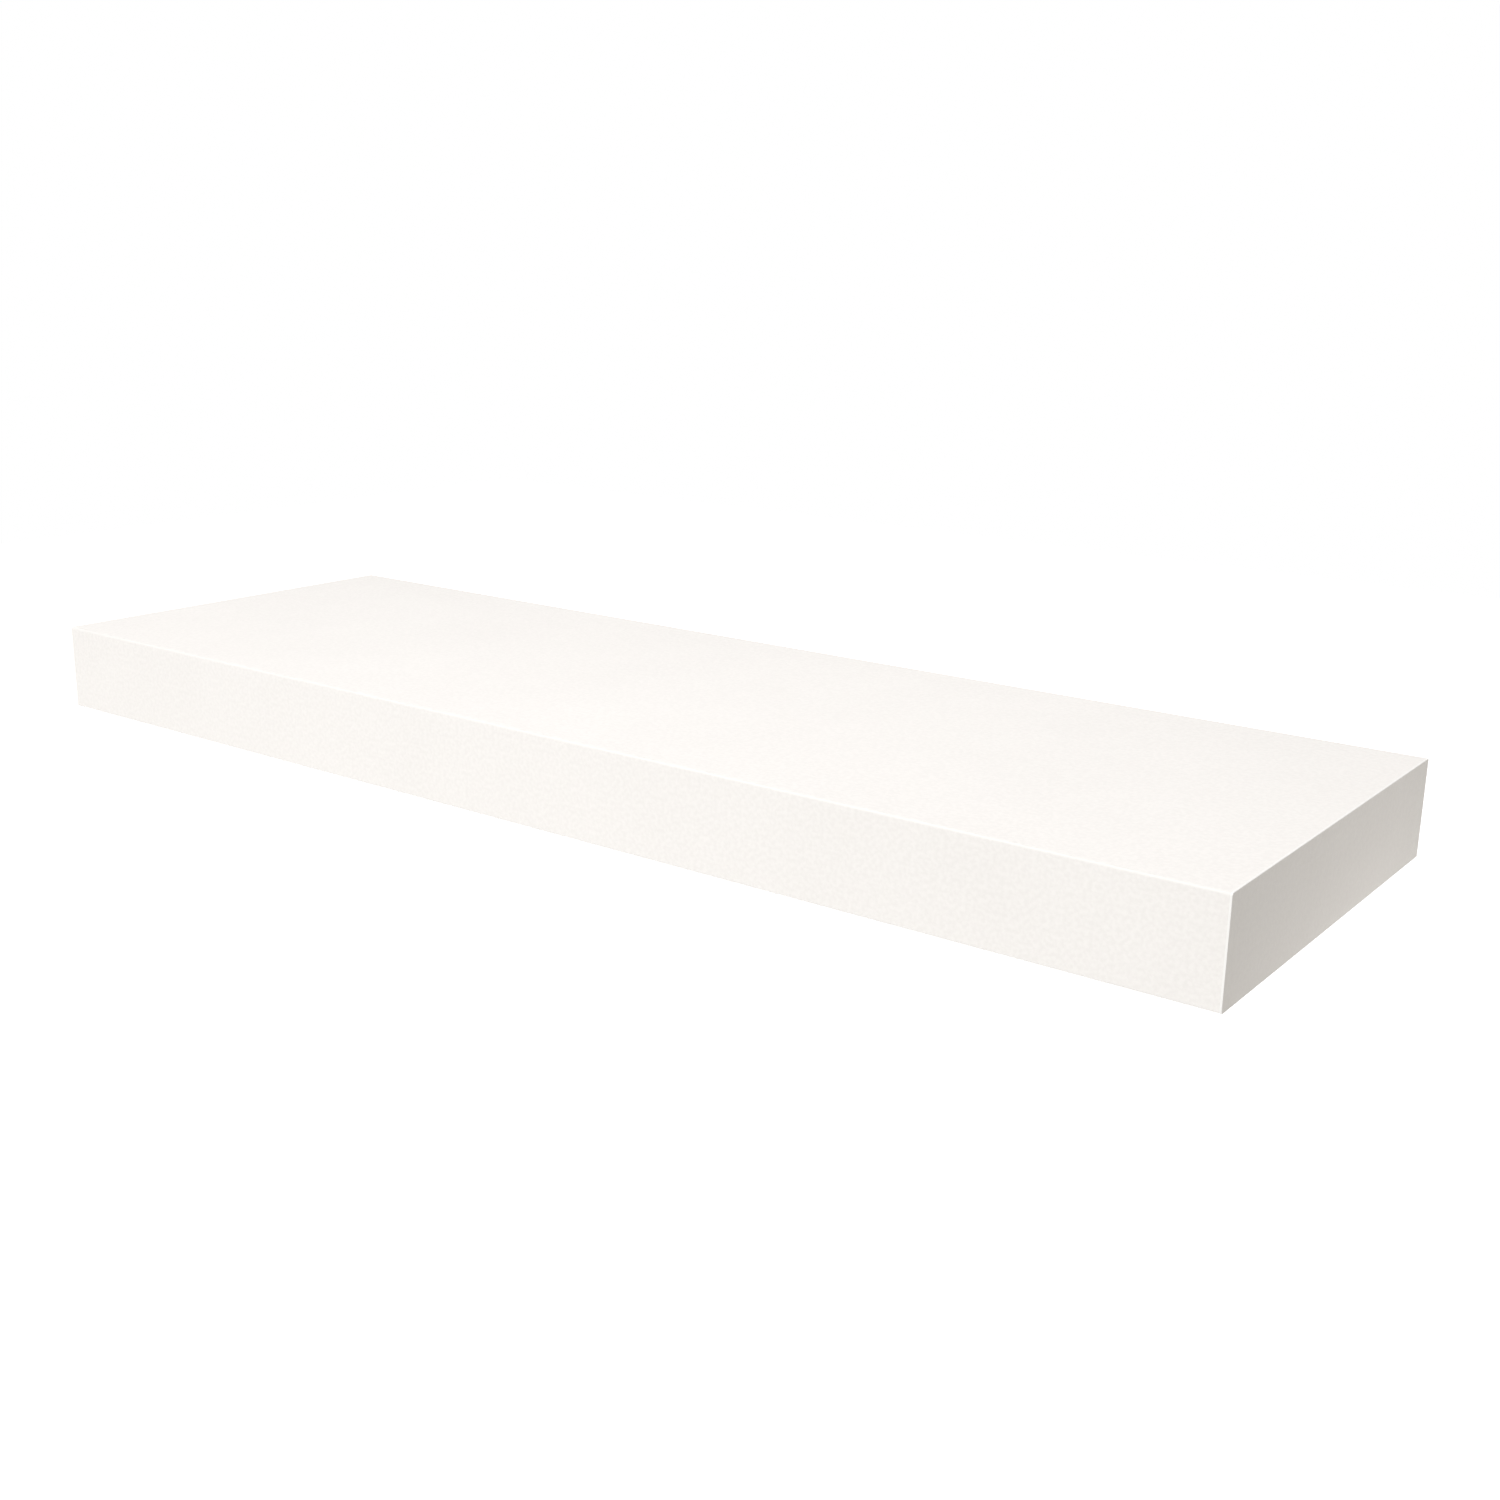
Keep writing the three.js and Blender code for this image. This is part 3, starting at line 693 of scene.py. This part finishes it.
ROD_SIDES = ("left", "centre", "right")
ROD_TURNS = even_turns(96)
ROD_TIP = [(0.0, 1.9), (0.06, 1.5), (0.25, 1.15), (1.25, 0.15), (1.5, 0.04), (1.85, 0.0)]
for side in ROD_SIDES:
    low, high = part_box(f"rod_{side}")
    length, radius = (high.y - low.y) / MM, (high.x - low.x) / 2 / MM
    profile = [(radius, 0)] + [(radius - inset, length - back) for inset, back in ROD_TIP]
    place = out_of_wall(low, high, high.y)
    rod = new_piece(f"steel_rod_{side}", *skinned(turned(profile, ROD_TURNS)), drawn_zinc, place)
    seat(rod, "bracket", "zinc_steel", f"rod_{side}")

# %% [markdown]
# ## Welds
#
# A fillet weld runs round the foot of each rod. Its bead is a row of overlapping crescents, one for each
# pulse of the arc. A torus with a bump would look flat from the side, so the ripples are in the mesh: the
# bead's small closed section is carried round the rod while its bulge swells and sinks.

# %% Shape the weld bead
WELD_LEG = 3.0
RIPPLES = 26
WELD_BULGE = 0.45
RIPPLE_HEIGHT = 0.09
WELD_LAG = 0.45
WELD_SKEW = 0.6
WELD_ROOT = 0.1
WELD_CUTS = 8


def bead_section(turn, rod_radius):
    """The bead's closed section at one turn, as (radius, height) pairs in mm."""
    section = [(rod_radius - WELD_ROOT, 0.0)]
    for step in range(WELD_CUTS + 1):
        share = step / WELD_CUTS
        angle = pi / 2 * share
        crescent = (turn * RIPPLES - WELD_LAG * sin(2 * angle)) % 1.0
        swell = 1 + RIPPLE_HEIGHT * sin(pi * crescent**WELD_SKEW) * sin(2 * angle)
        out = (1 - share) + WELD_BULGE * (cos(angle) - (1 - share))
        up = share + WELD_BULGE * (sin(angle) - share)
        section.append((rod_radius + WELD_LEG * swell * out, WELD_LEG * swell * up))
    return section + [(rod_radius - WELD_ROOT, WELD_LEG)]


print("weld section of", len(bead_section(0.0, 6.0)), "points")

# %% Run the weld beads
WELD_STEPS = RIPPLES * 8
WELD_LOW, WELD_HIGH = (0.36, 0.37, 0.39), (0.56, 0.56, 0.56)
grey_weld = zinc_finish("grey_weld", WELD_LOW, WELD_HIGH, EVEN, (0.38, 0.55))
for side in ROD_SIDES:
    low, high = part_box(f"rod_{side}")
    rings = []
    for turn in (step / WELD_STEPS for step in range(WELD_STEPS)):
        across, along = cos(2 * pi * turn), sin(2 * pi * turn)
        section = bead_section(turn, (high.x - low.x) / 2 / MM)
        rings.append([(r * MM * across, r * MM * along, z * MM) for r, z in section])
    place = out_of_wall(low, high, high.y)
    bead = new_piece(f"weld_bead_{side}", *skinned(rings, closed=True), grey_weld, place)
    seat(bead, "bracket", "zinc_steel", f"weld_{side}", angle=50)

# %% [markdown]
# ## Washers
#
# Each screw bears on a plain washer, stamped from sheet, so that one face has a slightly rolled edge. Its
# section is a closed loop, so the turned rings are joined into a closed row, and the hole needs no cutting.

# %% Stamp the washers
WASHER_BORE = 2.8
WASHER_ROLL = 0.3
WASHER_BURR = 0.12
WASHER_BREAK = 0.05
for spot in SPOTS:
    low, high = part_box(f"washer_{spot}")
    rim, height = (high.x - low.x) / 2 / MM, (high.y - low.y) / MM
    rolled = arc((rim - WASHER_ROLL, height - WASHER_ROLL), WASHER_ROLL, 0, 90, 5)
    burr = arc((WASHER_BORE + WASHER_BURR, height - WASHER_BURR), WASHER_BURR, 90, 180, 3)
    foot = [(WASHER_BORE, WASHER_BREAK), (WASHER_BORE + WASHER_BREAK, 0.0)]
    foot += [(rim - WASHER_BREAK, 0.0), (rim, WASHER_BREAK)]
    rings = turned(foot + rolled + burr, even_turns(64))
    place = out_of_wall(low, high, high.y)
    washer = new_piece(f"plain_washer_{spot}", *skinned(rings, closed=True), drawn_zinc, place)
    seat(washer, "bracket", "zinc_steel", f"washer_{spot}")

# %% [markdown]
# ## Threads
#
# A thread is a ridge that winds round a core. A Screw modifier can sweep its profile up a helix, but its ends
# need hand work where they run out. On a dense grid of rings the radius can simply follow the height and the
# turn, so that the crest climbs by one pitch in a turn. Near both ends of the thread the ridge fades into the
# core.


# %% Describe a thread
def thread_ridge(turn, height, pitch, width):
    """How much of the ridge stands at a turn and height, from 0 at the root to 1 on the crest."""
    phase = (height / pitch - turn) % 1.0
    return max(0.0, 1 - abs(2 * phase - 1) / width)


def faded(height, start, end, run):
    """1 inside a stretch of heights and 0 at both its ends."""
    return max(0.0, min(1.0, (height - start) / run, (end - height) / run))


PITCH_STEPS = 8
print("ridge at its root and crest:", thread_ridge(0, 0, 1, 0.5), thread_ridge(0, 0.5, 1, 0.5))

# %% [markdown]
# ## Wall screws
#
# Each is a 5 x 50 mm pan-head screw with a cross recess and a coarse thread for the plug. A boolean could cut
# the recess, but it breaks the head's smooth dome into odd faces. Here the dome's rings run inwards, take the
# shape of the cross and go down into it. All rings have their points at the same turns, chosen so that the
# cross has its corners.

# %% Shape the cross recess
CROSS_HALF_SPAN, CROSS_HALF_WIDTH = 2.2, 0.5
ARM_EDGE = degrees(atan2(CROSS_HALF_WIDTH, CROSS_HALF_SPAN))
ARM_ANGLES = (-45, -37, -30, -24, -18, -ARM_EDGE, -ARM_EDGE / 2, 0, ARM_EDGE / 2, ARM_EDGE, 18, 24, 30, 37)
CROSS_TURNS = [(quarter * 90 + angle) / 360 for quarter in range(4) for angle in ARM_ANGLES]
CROSS_LEVELS = [(1.06, 1.1, 3.38), (1.0, 1.0, 3.28), (0.72, 0.8, 1.9), (0.5, 0.7, 1.55)]
CROSS_PIT = (0.25, 1.5)


def cross_radius(turn, span_share, width_share):
    """The outline of a cross in one direction."""
    angle = radians((turn * 360 + 45) % 90 - 45)
    span, width = CROSS_HALF_SPAN * span_share, CROSS_HALF_WIDTH * width_share
    if abs(angle) <= atan2(width, span):
        return span / cos(angle)
    return width / sin(abs(angle))


print("cross of", len(CROSS_TURNS), "points")

# %% Thread the shank
SCREW_CORE, SCREW_CREST, SCREW_PITCH = 1.75, 2.5, 2.2
SCREW_RIDGE_WIDTH, SCREW_RUN_OUT = 0.5, 1.5
SCREW_POINT, SCREW_TAPER = 6.0, 0.75
SCREW_TIP_SHARE = 0.02
THREAD_END = -10.0


def shank_radius(turn, height, foot):
    """The threaded shank's radius. The point narrows its core and its ridge together."""
    narrowing = (max(0.0, height - foot) / SCREW_POINT) ** SCREW_TAPER
    ridge = thread_ridge(turn, height, SCREW_PITCH, SCREW_RIDGE_WIDTH)
    ridge *= faded(height, foot, THREAD_END, SCREW_RUN_OUT)
    return min(1.0, max(SCREW_TIP_SHARE, narrowing)) * (SCREW_CORE + (SCREW_CREST - SCREW_CORE) * ridge)


print("shank radius halfway down:", round(shank_radius(0.0, -30.8, -50.0), 2), "mm")

# %% Drive the wall screws
HEAD_NECK = [(1.85, -9.5), (1.85, -0.6), (2.25, -0.02), (4.6, 0.0), (4.72, 0.06), (4.75, 0.25)]
HEAD_DOME = [(4.75, 1.2), (4.66, 1.75), (4.4, 2.25), (3.95, 2.7), (3.4, 3.02), (2.9, 3.24), (2.5, 3.34)]


def wall_screw_rings(foot):
    """All rings from the point up the shank, over the head and down into the cross."""
    heights = spaced(foot, THREAD_END, round((THREAD_END - foot) / (SCREW_PITCH / PITCH_STEPS)))
    rings = [ring_at(z, CROSS_TURNS, lambda turn: shank_radius(turn, z, foot)) for z in heights]
    rings += turned(HEAD_NECK + HEAD_DOME, CROSS_TURNS)
    for span, width, z in CROSS_LEVELS:
        rings.append(ring_at(z, CROSS_TURNS, lambda turn: cross_radius(turn, span, width)))
    return rings + turned([CROSS_PIT], CROSS_TURNS)


for spot in SPOTS:
    low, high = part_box(f"wall_screw_{spot}")
    seat_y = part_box(f"washer_{spot}")[0].y
    rings = wall_screw_rings((seat_y - high.y) / MM)
    screw = new_piece(f"pan_screw_{spot}", *skinned(rings), drawn_zinc, out_of_wall(low, high, seat_y))
    seat(screw, "bracket", "zinc_steel", f"wall_screw_{spot}", angle=35)

# %% [markdown]
# ## Nylon
#
# The wall plugs are moulded in grey nylon: slightly translucent, with a silky surface and a fine mould
# texture. Subsurface light would show the translucence, but on a piece buried in a wall it isn't worth its
# time. A soft coat and faint flow clouds are enough.

# %% Mould the nylon
NYLON_LOW, NYLON_HIGH = (0.22, 0.24, 0.26), (0.31, 0.33, 0.35)
NYLON_STRESSED = (0.44, 0.46, 0.48)
silky_nylon, tree, skin = new_finish("silky_nylon", IOR=1.53, Coat_Weight=0.15, Coat_Roughness=0.4)
flow = pattern(tree, GRAIN, Size=0.006, Stretch=(1, 1, 3), Detail=2.0, Contrast=1.4)["Shade"]
mould = pattern(tree, GRAIN, Size=0.0003, Detail=2.0, Contrast=2.0)["Shade"]
stress = pattern(tree, RUBBED, Start=0.53, Full=0.62, Patch=0.001)["Mask"]
nylon_colour = mixed(tree, stress, mixed(tree, flow, NYLON_LOW, NYLON_HIGH), NYLON_STRESSED)
give_surface(silky_nylon, skin, nylon_colour, mould, roughness=(0.42, 0.58), depth=0.01)

# %% [markdown]
# ## Wall plugs
#
# A plug is a sleeve with saw-toothed ribs, which hold it in the wall, and a slit, which lets the screw spread
# it. The ribs are part of the turned profile, one tooth after another.

# %% Draw the plug's section
PLUG_BORE = 2.75
PLUG_BODY = 3.5
PLUG_COLLAR = 2.0
PLUG_RIB_PITCH = 2.4
PLUG_RIB_STEEP = 0.15
PLUG_BREAK = 0.3


def plug_section(crest, length):
    """The sleeve's closed section, from its mouth down to its far end and up the bore."""
    section = [(PLUG_BORE + PLUG_BREAK, 0.0), (crest - 0.2, 0.0), (crest, -0.2), (crest, -PLUG_COLLAR)]
    rib_count = int((length - PLUG_COLLAR - 1.0) / PLUG_RIB_PITCH)
    for rib in range(rib_count):
        root = -PLUG_COLLAR - rib * PLUG_RIB_PITCH
        tip = root - PLUG_RIB_PITCH
        section += [(PLUG_BODY, root - PLUG_RIB_STEEP), (crest - 0.05, tip + PLUG_BREAK), (crest - 0.05, tip)]
    last = -PLUG_COLLAR - rib_count * PLUG_RIB_PITCH
    foot = [(PLUG_BODY - 0.25, 0.1 - length), (PLUG_BODY - 0.35, -length), (PLUG_BORE - 0.05, -length)]
    section += [(PLUG_BODY, last - PLUG_RIB_STEEP), *foot]
    return section + [(PLUG_BORE, PLUG_BREAK - length), (PLUG_BORE, -PLUG_BREAK)]


print("plug section of", len(plug_section(4.0, 40.0)), "points")

# %% [markdown]
# The slit crosses the axis, so it can't be turned. A narrow block goes through the far end and cuts it.

# %% Mould and slit the plugs
PLUG_HALF_SLIT, PLUG_SLIT_LENGTH = 0.5, 26.0
for spot in SPOTS:
    low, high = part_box(f"wall_plug_{spot}")
    crest, length = (high.x - low.x) / 2 / MM, (high.y - low.y) / MM
    place = out_of_wall(low, high, low.y)
    rings = turned(plug_section(crest, length), even_turns(48))
    plug = new_piece(f"ribbed_plug_{spot}", *skinned(rings, closed=True), silky_nylon, place)
    slit_ends = (-length - 1, PLUG_SLIT_LENGTH - length)
    slit = [[(x * PLUG_HALF_SLIT * MM, y * 2 * crest * MM, z * MM) for x, y in SQUARE] for z in slit_ends]
    cut_away(plug, new_piece("slit", *skinned(slit), silky_nylon, place))
    seat(plug, "bracket", "grey_nylon", f"wall_plug_{spot}", angle=35)

# %% [markdown]
# ## Blackened steel and brass
#
# The grub screws are hardened and blackened in hot oil: nearly black, with a dull shine, and rubbed to bare
# steel on the thread's crests. Their inserts are plain brass, darkened unevenly by the air. Both are metals,
# so their colour is the base colour of a fully metallic shader.

# %% Blacken the steel
OXIDE_LOW, OXIDE_HIGH = (0.018, 0.019, 0.021), (0.045, 0.046, 0.049)
OXIDE_RUBBED = (0.16, 0.16, 0.165)
blackened_steel, tree, skin = new_finish("blackened_steel", Metallic=1.0)
oxide = pattern(tree, GRAIN, Size=0.004, Detail=3.0, Contrast=1.6)["Shade"]
rubbed = pattern(tree, RUBBED, Start=0.54, Full=0.66, Patch=0.0008)["Mask"]
oxide_colour = mixed(tree, rubbed, mixed(tree, oxide, OXIDE_LOW, OXIDE_HIGH), OXIDE_RUBBED)
give_surface(blackened_steel, skin, oxide_colour, oxide, roughness=(0.3, 0.46), depth=0.003)

# %% Turn the brass
BRASS_DULL, BRASS_BRIGHT = (0.42, 0.25, 0.075), (0.72, 0.49, 0.19)
turned_brass, tree, skin = new_finish("turned_brass", Metallic=1.0)
tarnish = pattern(tree, GRAIN, Size=0.003, Detail=4.0, Contrast=1.8)["Shade"]
lathe = pattern(tree, GRAIN, Size=0.0003, Stretch=(8, 8, 1), Detail=2.0, Contrast=2.0)["Shade"]
brass_colour = mixed(tree, tarnish, BRASS_DULL, BRASS_BRIGHT)
give_surface(turned_brass, skin, brass_colour, lathe, roughness=(0.25, 0.42), depth=0.004)

# %% [markdown]
# ## Grub screws
#
# An M6 grub screw stands in a threaded insert on each side, just under its rod. A hex key reaches the socket
# in its foot through the hole in the underside. The socket is made like the cross recess: the rings come in
# over the foot, take a hexagon's shape and go up into it.

# %% Shape the thread and the hex socket
LOCK_TURNS = even_turns(48)
LOCK_PITCH = 1.0
LOCK_DEPTH = 0.6
LOCK_ENDS = 0.7
LOCK_RIDGE_WIDTH, LOCK_RUN_OUT = 0.9, 0.8
HEX_HALF = 1.5
HEX_BREAK = 0.15
HEX_LEVELS = [(HEX_HALF + HEX_BREAK, 0.0), (HEX_HALF, HEX_BREAK), (HEX_HALF, 4.0)]
HEX_PIT = (0.2, 4.6)


def hexagon_radius(turn, half_width):
    """The outline of a hexagon in one direction."""
    return half_width / cos(radians((turn * 360) % 60 - 30))


def grub_radius(turn, height, root, length):
    """The grub screw's radius on its thread."""
    ridge = thread_ridge(turn, height, LOCK_PITCH, LOCK_RIDGE_WIDTH)
    return root + LOCK_DEPTH * ridge * faded(height, 0.5, length - 0.5, LOCK_RUN_OUT)


print("socket over its corners:", round(2 * hexagon_radius(0.0, HEX_HALF), 2), "mm")


# %% Make the grub screws
def grub_screw_rings(radius, length):
    """All rings from the flat tip down the thread to the foot, and up into the socket."""
    root, run = radius - LOCK_DEPTH, length - 2 * LOCK_ENDS
    heights = spaced(length - LOCK_ENDS, LOCK_ENDS, round(run / (LOCK_PITCH / PITCH_STEPS)))
    rings = turned([(root - 0.6, length), (root - 0.5, length - 0.05)], LOCK_TURNS)
    rings += [ring_at(z, LOCK_TURNS, lambda turn: grub_radius(turn, z, root, length)) for z in heights]
    rings += turned([(root - 0.15, 0.05), (root - 0.25, 0.0)], LOCK_TURNS)
    rings += [ring_at(z, LOCK_TURNS, lambda turn: hexagon_radius(turn, width)) for width, z in HEX_LEVELS]
    return rings + turned([HEX_PIT], LOCK_TURNS)


for side in LOCK_SIDES:
    low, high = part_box(f"lock_screw_{side}")
    rings = grub_screw_rings((high.x - low.x) / 2 / MM, (high.z - low.z) / MM)
    grub = new_piece(f"grub_screw_{side}", *skinned(rings), blackened_steel, standing_in(low, high, low.z))
    seat(grub, f"lock_{side}", "black_steel", f"lock_screw_{side}", angle=40)

# %% [markdown]
# ## Threaded inserts
#
# The insert is a sleeve with a thread on both sides: a coarse one that bites into the chipboard, and the grub
# screw's own inside. Its rings go up the outside and come down the inside, and the last joins the first.

# %% Make the inserts
INSERT_BORE, INSERT_GROOVE, INSERT_STEPS = 3.3, 0.22, 6
INSERT_PITCH, INSERT_RIDGE, INSERT_RIDGE_WIDTH = 2.0, 0.55, 0.55


def insert_outside(turn, height, crest, length):
    """The insert's radius outside, on the coarse thread."""
    ridge = thread_ridge(turn, height, INSERT_PITCH, INSERT_RIDGE_WIDTH) * faded(height, 0.3, length, 1.0)
    return crest - INSERT_RIDGE + INSERT_RIDGE * ridge


def insert_inside(turn, height, length):
    """The insert's radius inside, on the grub screw's thread."""
    groove = thread_ridge(turn, height, LOCK_PITCH, LOCK_RIDGE_WIDTH) * faded(height, 0.0, length, 0.6)
    return INSERT_BORE - INSERT_GROOVE * groove


for side in LOCK_SIDES:
    low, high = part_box(f"lock_insert_{side}")
    crest, length = (high.x - low.x) / 2 / MM, (high.z - low.z) / MM
    climb = spaced(0.0, length, round(length / (LOCK_PITCH / INSERT_STEPS)))
    rings = [ring_at(z, LOCK_TURNS, lambda turn: insert_outside(turn, z, crest, length)) for z in climb]
    rings += [ring_at(z, LOCK_TURNS, lambda turn: insert_inside(turn, z, length)) for z in climb[::-1]]
    sleeve = skinned(rings, closed=True)
    insert = new_piece(f"threaded_insert_{side}", *sleeve, turned_brass, standing_in(low, high, low.z))
    seat(insert, "shelf", "brass_insert", f"lock_insert_{side}", angle=40)

# %% [markdown]
# ## Beech dowels
#
# Fluted beech dowels pin the frame together. The wood's fibres run along them: the grain group, stretched
# along the dowel's own Z, draws them, with the short dark flecks that beech has.

# %% Split the beech
BEECH_LOW, BEECH_HIGH, BEECH_FLECK = (0.56, 0.35, 0.17), (0.76, 0.55, 0.32), (0.34, 0.18, 0.08)
split_beech, tree, skin = new_finish("split_beech", IOR=1.5, Specular_IOR_Level=0.35)
fibres = pattern(tree, GRAIN, Size=0.0006, Stretch=(1, 1, 18), Detail=4.0, Contrast=1.8)["Shade"]
flecks = pattern(tree, GRAIN, Size=0.0005, Stretch=(1, 1, 5), Detail=1.0, Contrast=9.0)["Shade"]
plain_beech = mixed(tree, fibres, BEECH_LOW, BEECH_HIGH)
beech_colour = mixed(tree, ranged(tree, flecks, 0.0, 0.35), plain_beech, BEECH_FLECK)
give_surface(split_beech, skin, beech_colour, fibres, roughness=(0.55, 0.72), depth=0.03)

# %% [markdown]
# The flutes let glue and air out. A fluted dowel is a ring form again, with a radius that dips at every
# flute, and a chamfer at both ends.

# %% Flute the dowels
DOWELS = ("rib_left", "rib_centre", "rib_right", "front_left", "front_right", "rear_left", "rear_right")
DOWEL_TURNS = even_turns(128)
FLUTES = 16
FLUTE_DEPTH, FLUTE_NARROWNESS = 0.3, 6
DOWEL_CHAMFER = 0.8


def fluted_radius(turn, radius):
    """The dowel's radius in one direction, dipping at each flute."""
    return radius - FLUTE_DEPTH * abs(sin(pi * FLUTES * turn)) ** FLUTE_NARROWNESS


for pin in DOWELS:
    low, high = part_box(f"dowel_{pin}")
    size = high - low
    half, radius = max(size.x, size.y) / 2 / MM, size.z / 2 / MM
    body = half - DOWEL_CHAMFER
    ends = [(-half, DOWEL_CHAMFER), (-body, 0.0), (body, 0.0), (half, DOWEL_CHAMFER)]
    rings = [ring_at(z, DOWEL_TURNS, lambda turn: fluted_radius(turn, radius) - inset) for z, inset in ends]
    lying = Matrix.Rotation(pi / 2, 4, "Y" if size.x > size.y else "X")
    place = Matrix.Translation((low + high) / 2) @ lying
    dowel = new_piece(f"fluted_dowel_{pin}", *skinned(rings), split_beech, place)
    seat(dowel, "shelf", "beech", f"dowel_{pin}", angle=40)

# %% [markdown]
# ## Chipboard
#
# The slab's frame is sawn from chipboard: flakes of wood of many tones, pressed and glued, with dark pores
# between some of them. Voronoi cells make good flakes, once their places are shaken by noise. Their borders
# are the pores, broken up by more noise. It is a group of its own, with its size and stretch as inputs.

# %% Flakes with a tone each, and pores between them
HALF = (0.5, 0.5, 0.5)
FLAKES, given, made = new_group("flakes", {"Size": 0.003, "Stretch": EVEN, "Gap": 0.08}, ["Shade", "Pore"])
flake_place = scaled_place(FLAKES, given["Size"], given["Stretch"])
warp = noise(FLAKES, flake_place, 1.3, 3.0)["Color"]
shift = add_node(FLAKES, "ShaderNodeVectorMath", {0: warp, 1: HALF}, operation="SUBTRACT").outputs[0]
shaken = add_node(FLAKES, "ShaderNodeVectorMath", {0: flake_place, 1: shift}, operation="ADD").outputs[0]
cell_inputs = {"Vector": shaken, "Scale": 1.0}
cells = add_node(FLAKES, "ShaderNodeTexVoronoi", cell_inputs).outputs["Color"]
FLAKES.links.new(add_node(FLAKES, "ShaderNodeSeparateColor", {"Color": cells}).outputs[0], made["Shade"])
edges = add_node(FLAKES, "ShaderNodeTexVoronoi", cell_inputs, feature="DISTANCE_TO_EDGE").outputs["Distance"]
near_border = ranged(FLAKES, edges, 1.0, 0.0, end=given["Gap"])
open_here = ranged(FLAKES, noise(FLAKES, flake_place, 1.6, 2.0)[0], 0.0, 1.0, 0.52, 0.64)
FLAKES.links.new(maths(FLAKES, "MULTIPLY", near_border, open_here), made["Pore"])
print("group", FLAKES.name, "with", len(FLAKES.nodes), "nodes")

# %% Press the chipboard
CHIP_LOW, CHIP_HIGH, CHIP_PORE = (0.34, 0.185, 0.075), (0.93, 0.76, 0.52), (0.16, 0.085, 0.04)
sawn_chipboard, tree, skin = new_finish("sawn_chipboard", IOR=1.5, Specular_IOR_Level=0.3)
coarse = pattern(tree, FLAKES, Size=0.0018, Stretch=(3.0, 2.2, 0.7), Gap=0.14)
fine = pattern(tree, FLAKES, Size=0.0008, Stretch=(2.2, 1.7, 0.8), Gap=0.2)
fibres = pattern(tree, GRAIN, Size=0.0004, Stretch=(6, 5, 1), Detail=3.0, Contrast=1.6)["Shade"]
flake_tone = blended(tree, 0.2, blended(tree, 0.35, coarse["Shade"], fine["Shade"]), fibres)
dark_pores = blended(tree, 0.4, coarse["Pore"], fine["Pore"])
chip_colour = mixed(tree, dark_pores, mixed(tree, flake_tone, CHIP_LOW, CHIP_HIGH), CHIP_PORE)
relief = maths(tree, "SUBTRACT", flake_tone, dark_pores)
give_surface(sawn_chipboard, skin, chip_colour, fibres, roughness=(0.72, 0.9), depth=0.12, height=relief)

# %% [markdown]
# The CAD bars have the right shape and bores, so they stay. Only the material in their slots is changed.


# %% Give the frame its chipboard
def refinish(finish, *node_names):
    """Gives CAD nodes a finish in their own material slots."""
    for node_name in node_names:
        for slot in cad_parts[node_name].material_slots:
            slot.material = finish
    print(finish.name, "on", *node_names)


ribs = [f"rod_rib_{side}" for side in ROD_SIDES]
refinish(sawn_chipboard, "front_rail", "rear_rail", "end_rail_left", "end_rail_right", *ribs)

# %% [markdown]
# ## Hardboard
#
# The boards over and under the frame are 3 mm hardboard. From behind, their sawn edges show as two dark brown
# lines. Hardboard is pressed from wet fibres, so it has no flakes, only a felt of fine threads and some
# darker clouds.

# %% Press the hardboard
BOARD_LOW, BOARD_HIGH = (0.14, 0.07, 0.03), (0.30, 0.17, 0.082)
felted_board, tree, skin = new_finish("felted_board", IOR=1.5, Specular_IOR_Level=0.35)
felt = pattern(tree, GRAIN, Size=0.0005, Stretch=(5, 5, 1), Detail=4.0, Contrast=2.0)["Shade"]
clouds = pattern(tree, GRAIN, Size=0.011, Detail=3.0, Contrast=1.5)["Shade"]
board_colour = mixed(tree, blended(tree, 0.45, clouds, felt), BOARD_LOW, BOARD_HIGH)
give_surface(felted_board, skin, board_colour, felt, roughness=(0.6, 0.8), depth=0.05)
refinish(felted_board, "top_board", "bottom_board")

# %% [markdown]
# ## Kraft honeycomb
#
# Paper honeycomb fills the bays and keeps the boards apart. It is brown kraft paper, with long fibres and
# darker specks of bark. Its cells are in the CAD solids, so only the paper's look is needed.

# %% Make the kraft paper
KRAFT_LOW, KRAFT_HIGH, KRAFT_BARK = (0.40, 0.23, 0.10), (0.54, 0.34, 0.17), (0.2, 0.1, 0.045)
brown_kraft, tree, skin = new_finish("brown_kraft", IOR=1.45, Specular_IOR_Level=0.25)
fibres = pattern(tree, GRAIN, Size=0.0005, Stretch=(7, 7, 2), Detail=4.0, Contrast=1.6)["Shade"]
bark = pattern(tree, GRAIN, Size=0.0007, Stretch=(2, 2, 1), Detail=1.0, Contrast=10.0)["Shade"]
plain_kraft = mixed(tree, fibres, KRAFT_LOW, KRAFT_HIGH)
kraft_colour = mixed(tree, ranged(tree, bark, 0.0, 0.3), plain_kraft, KRAFT_BARK)
give_surface(brown_kraft, skin, kraft_colour, fibres, roughness=(0.75, 0.92), depth=0.03)
refinish(brown_kraft, *(f"honeycomb_{spot}" for spot in SPOTS))
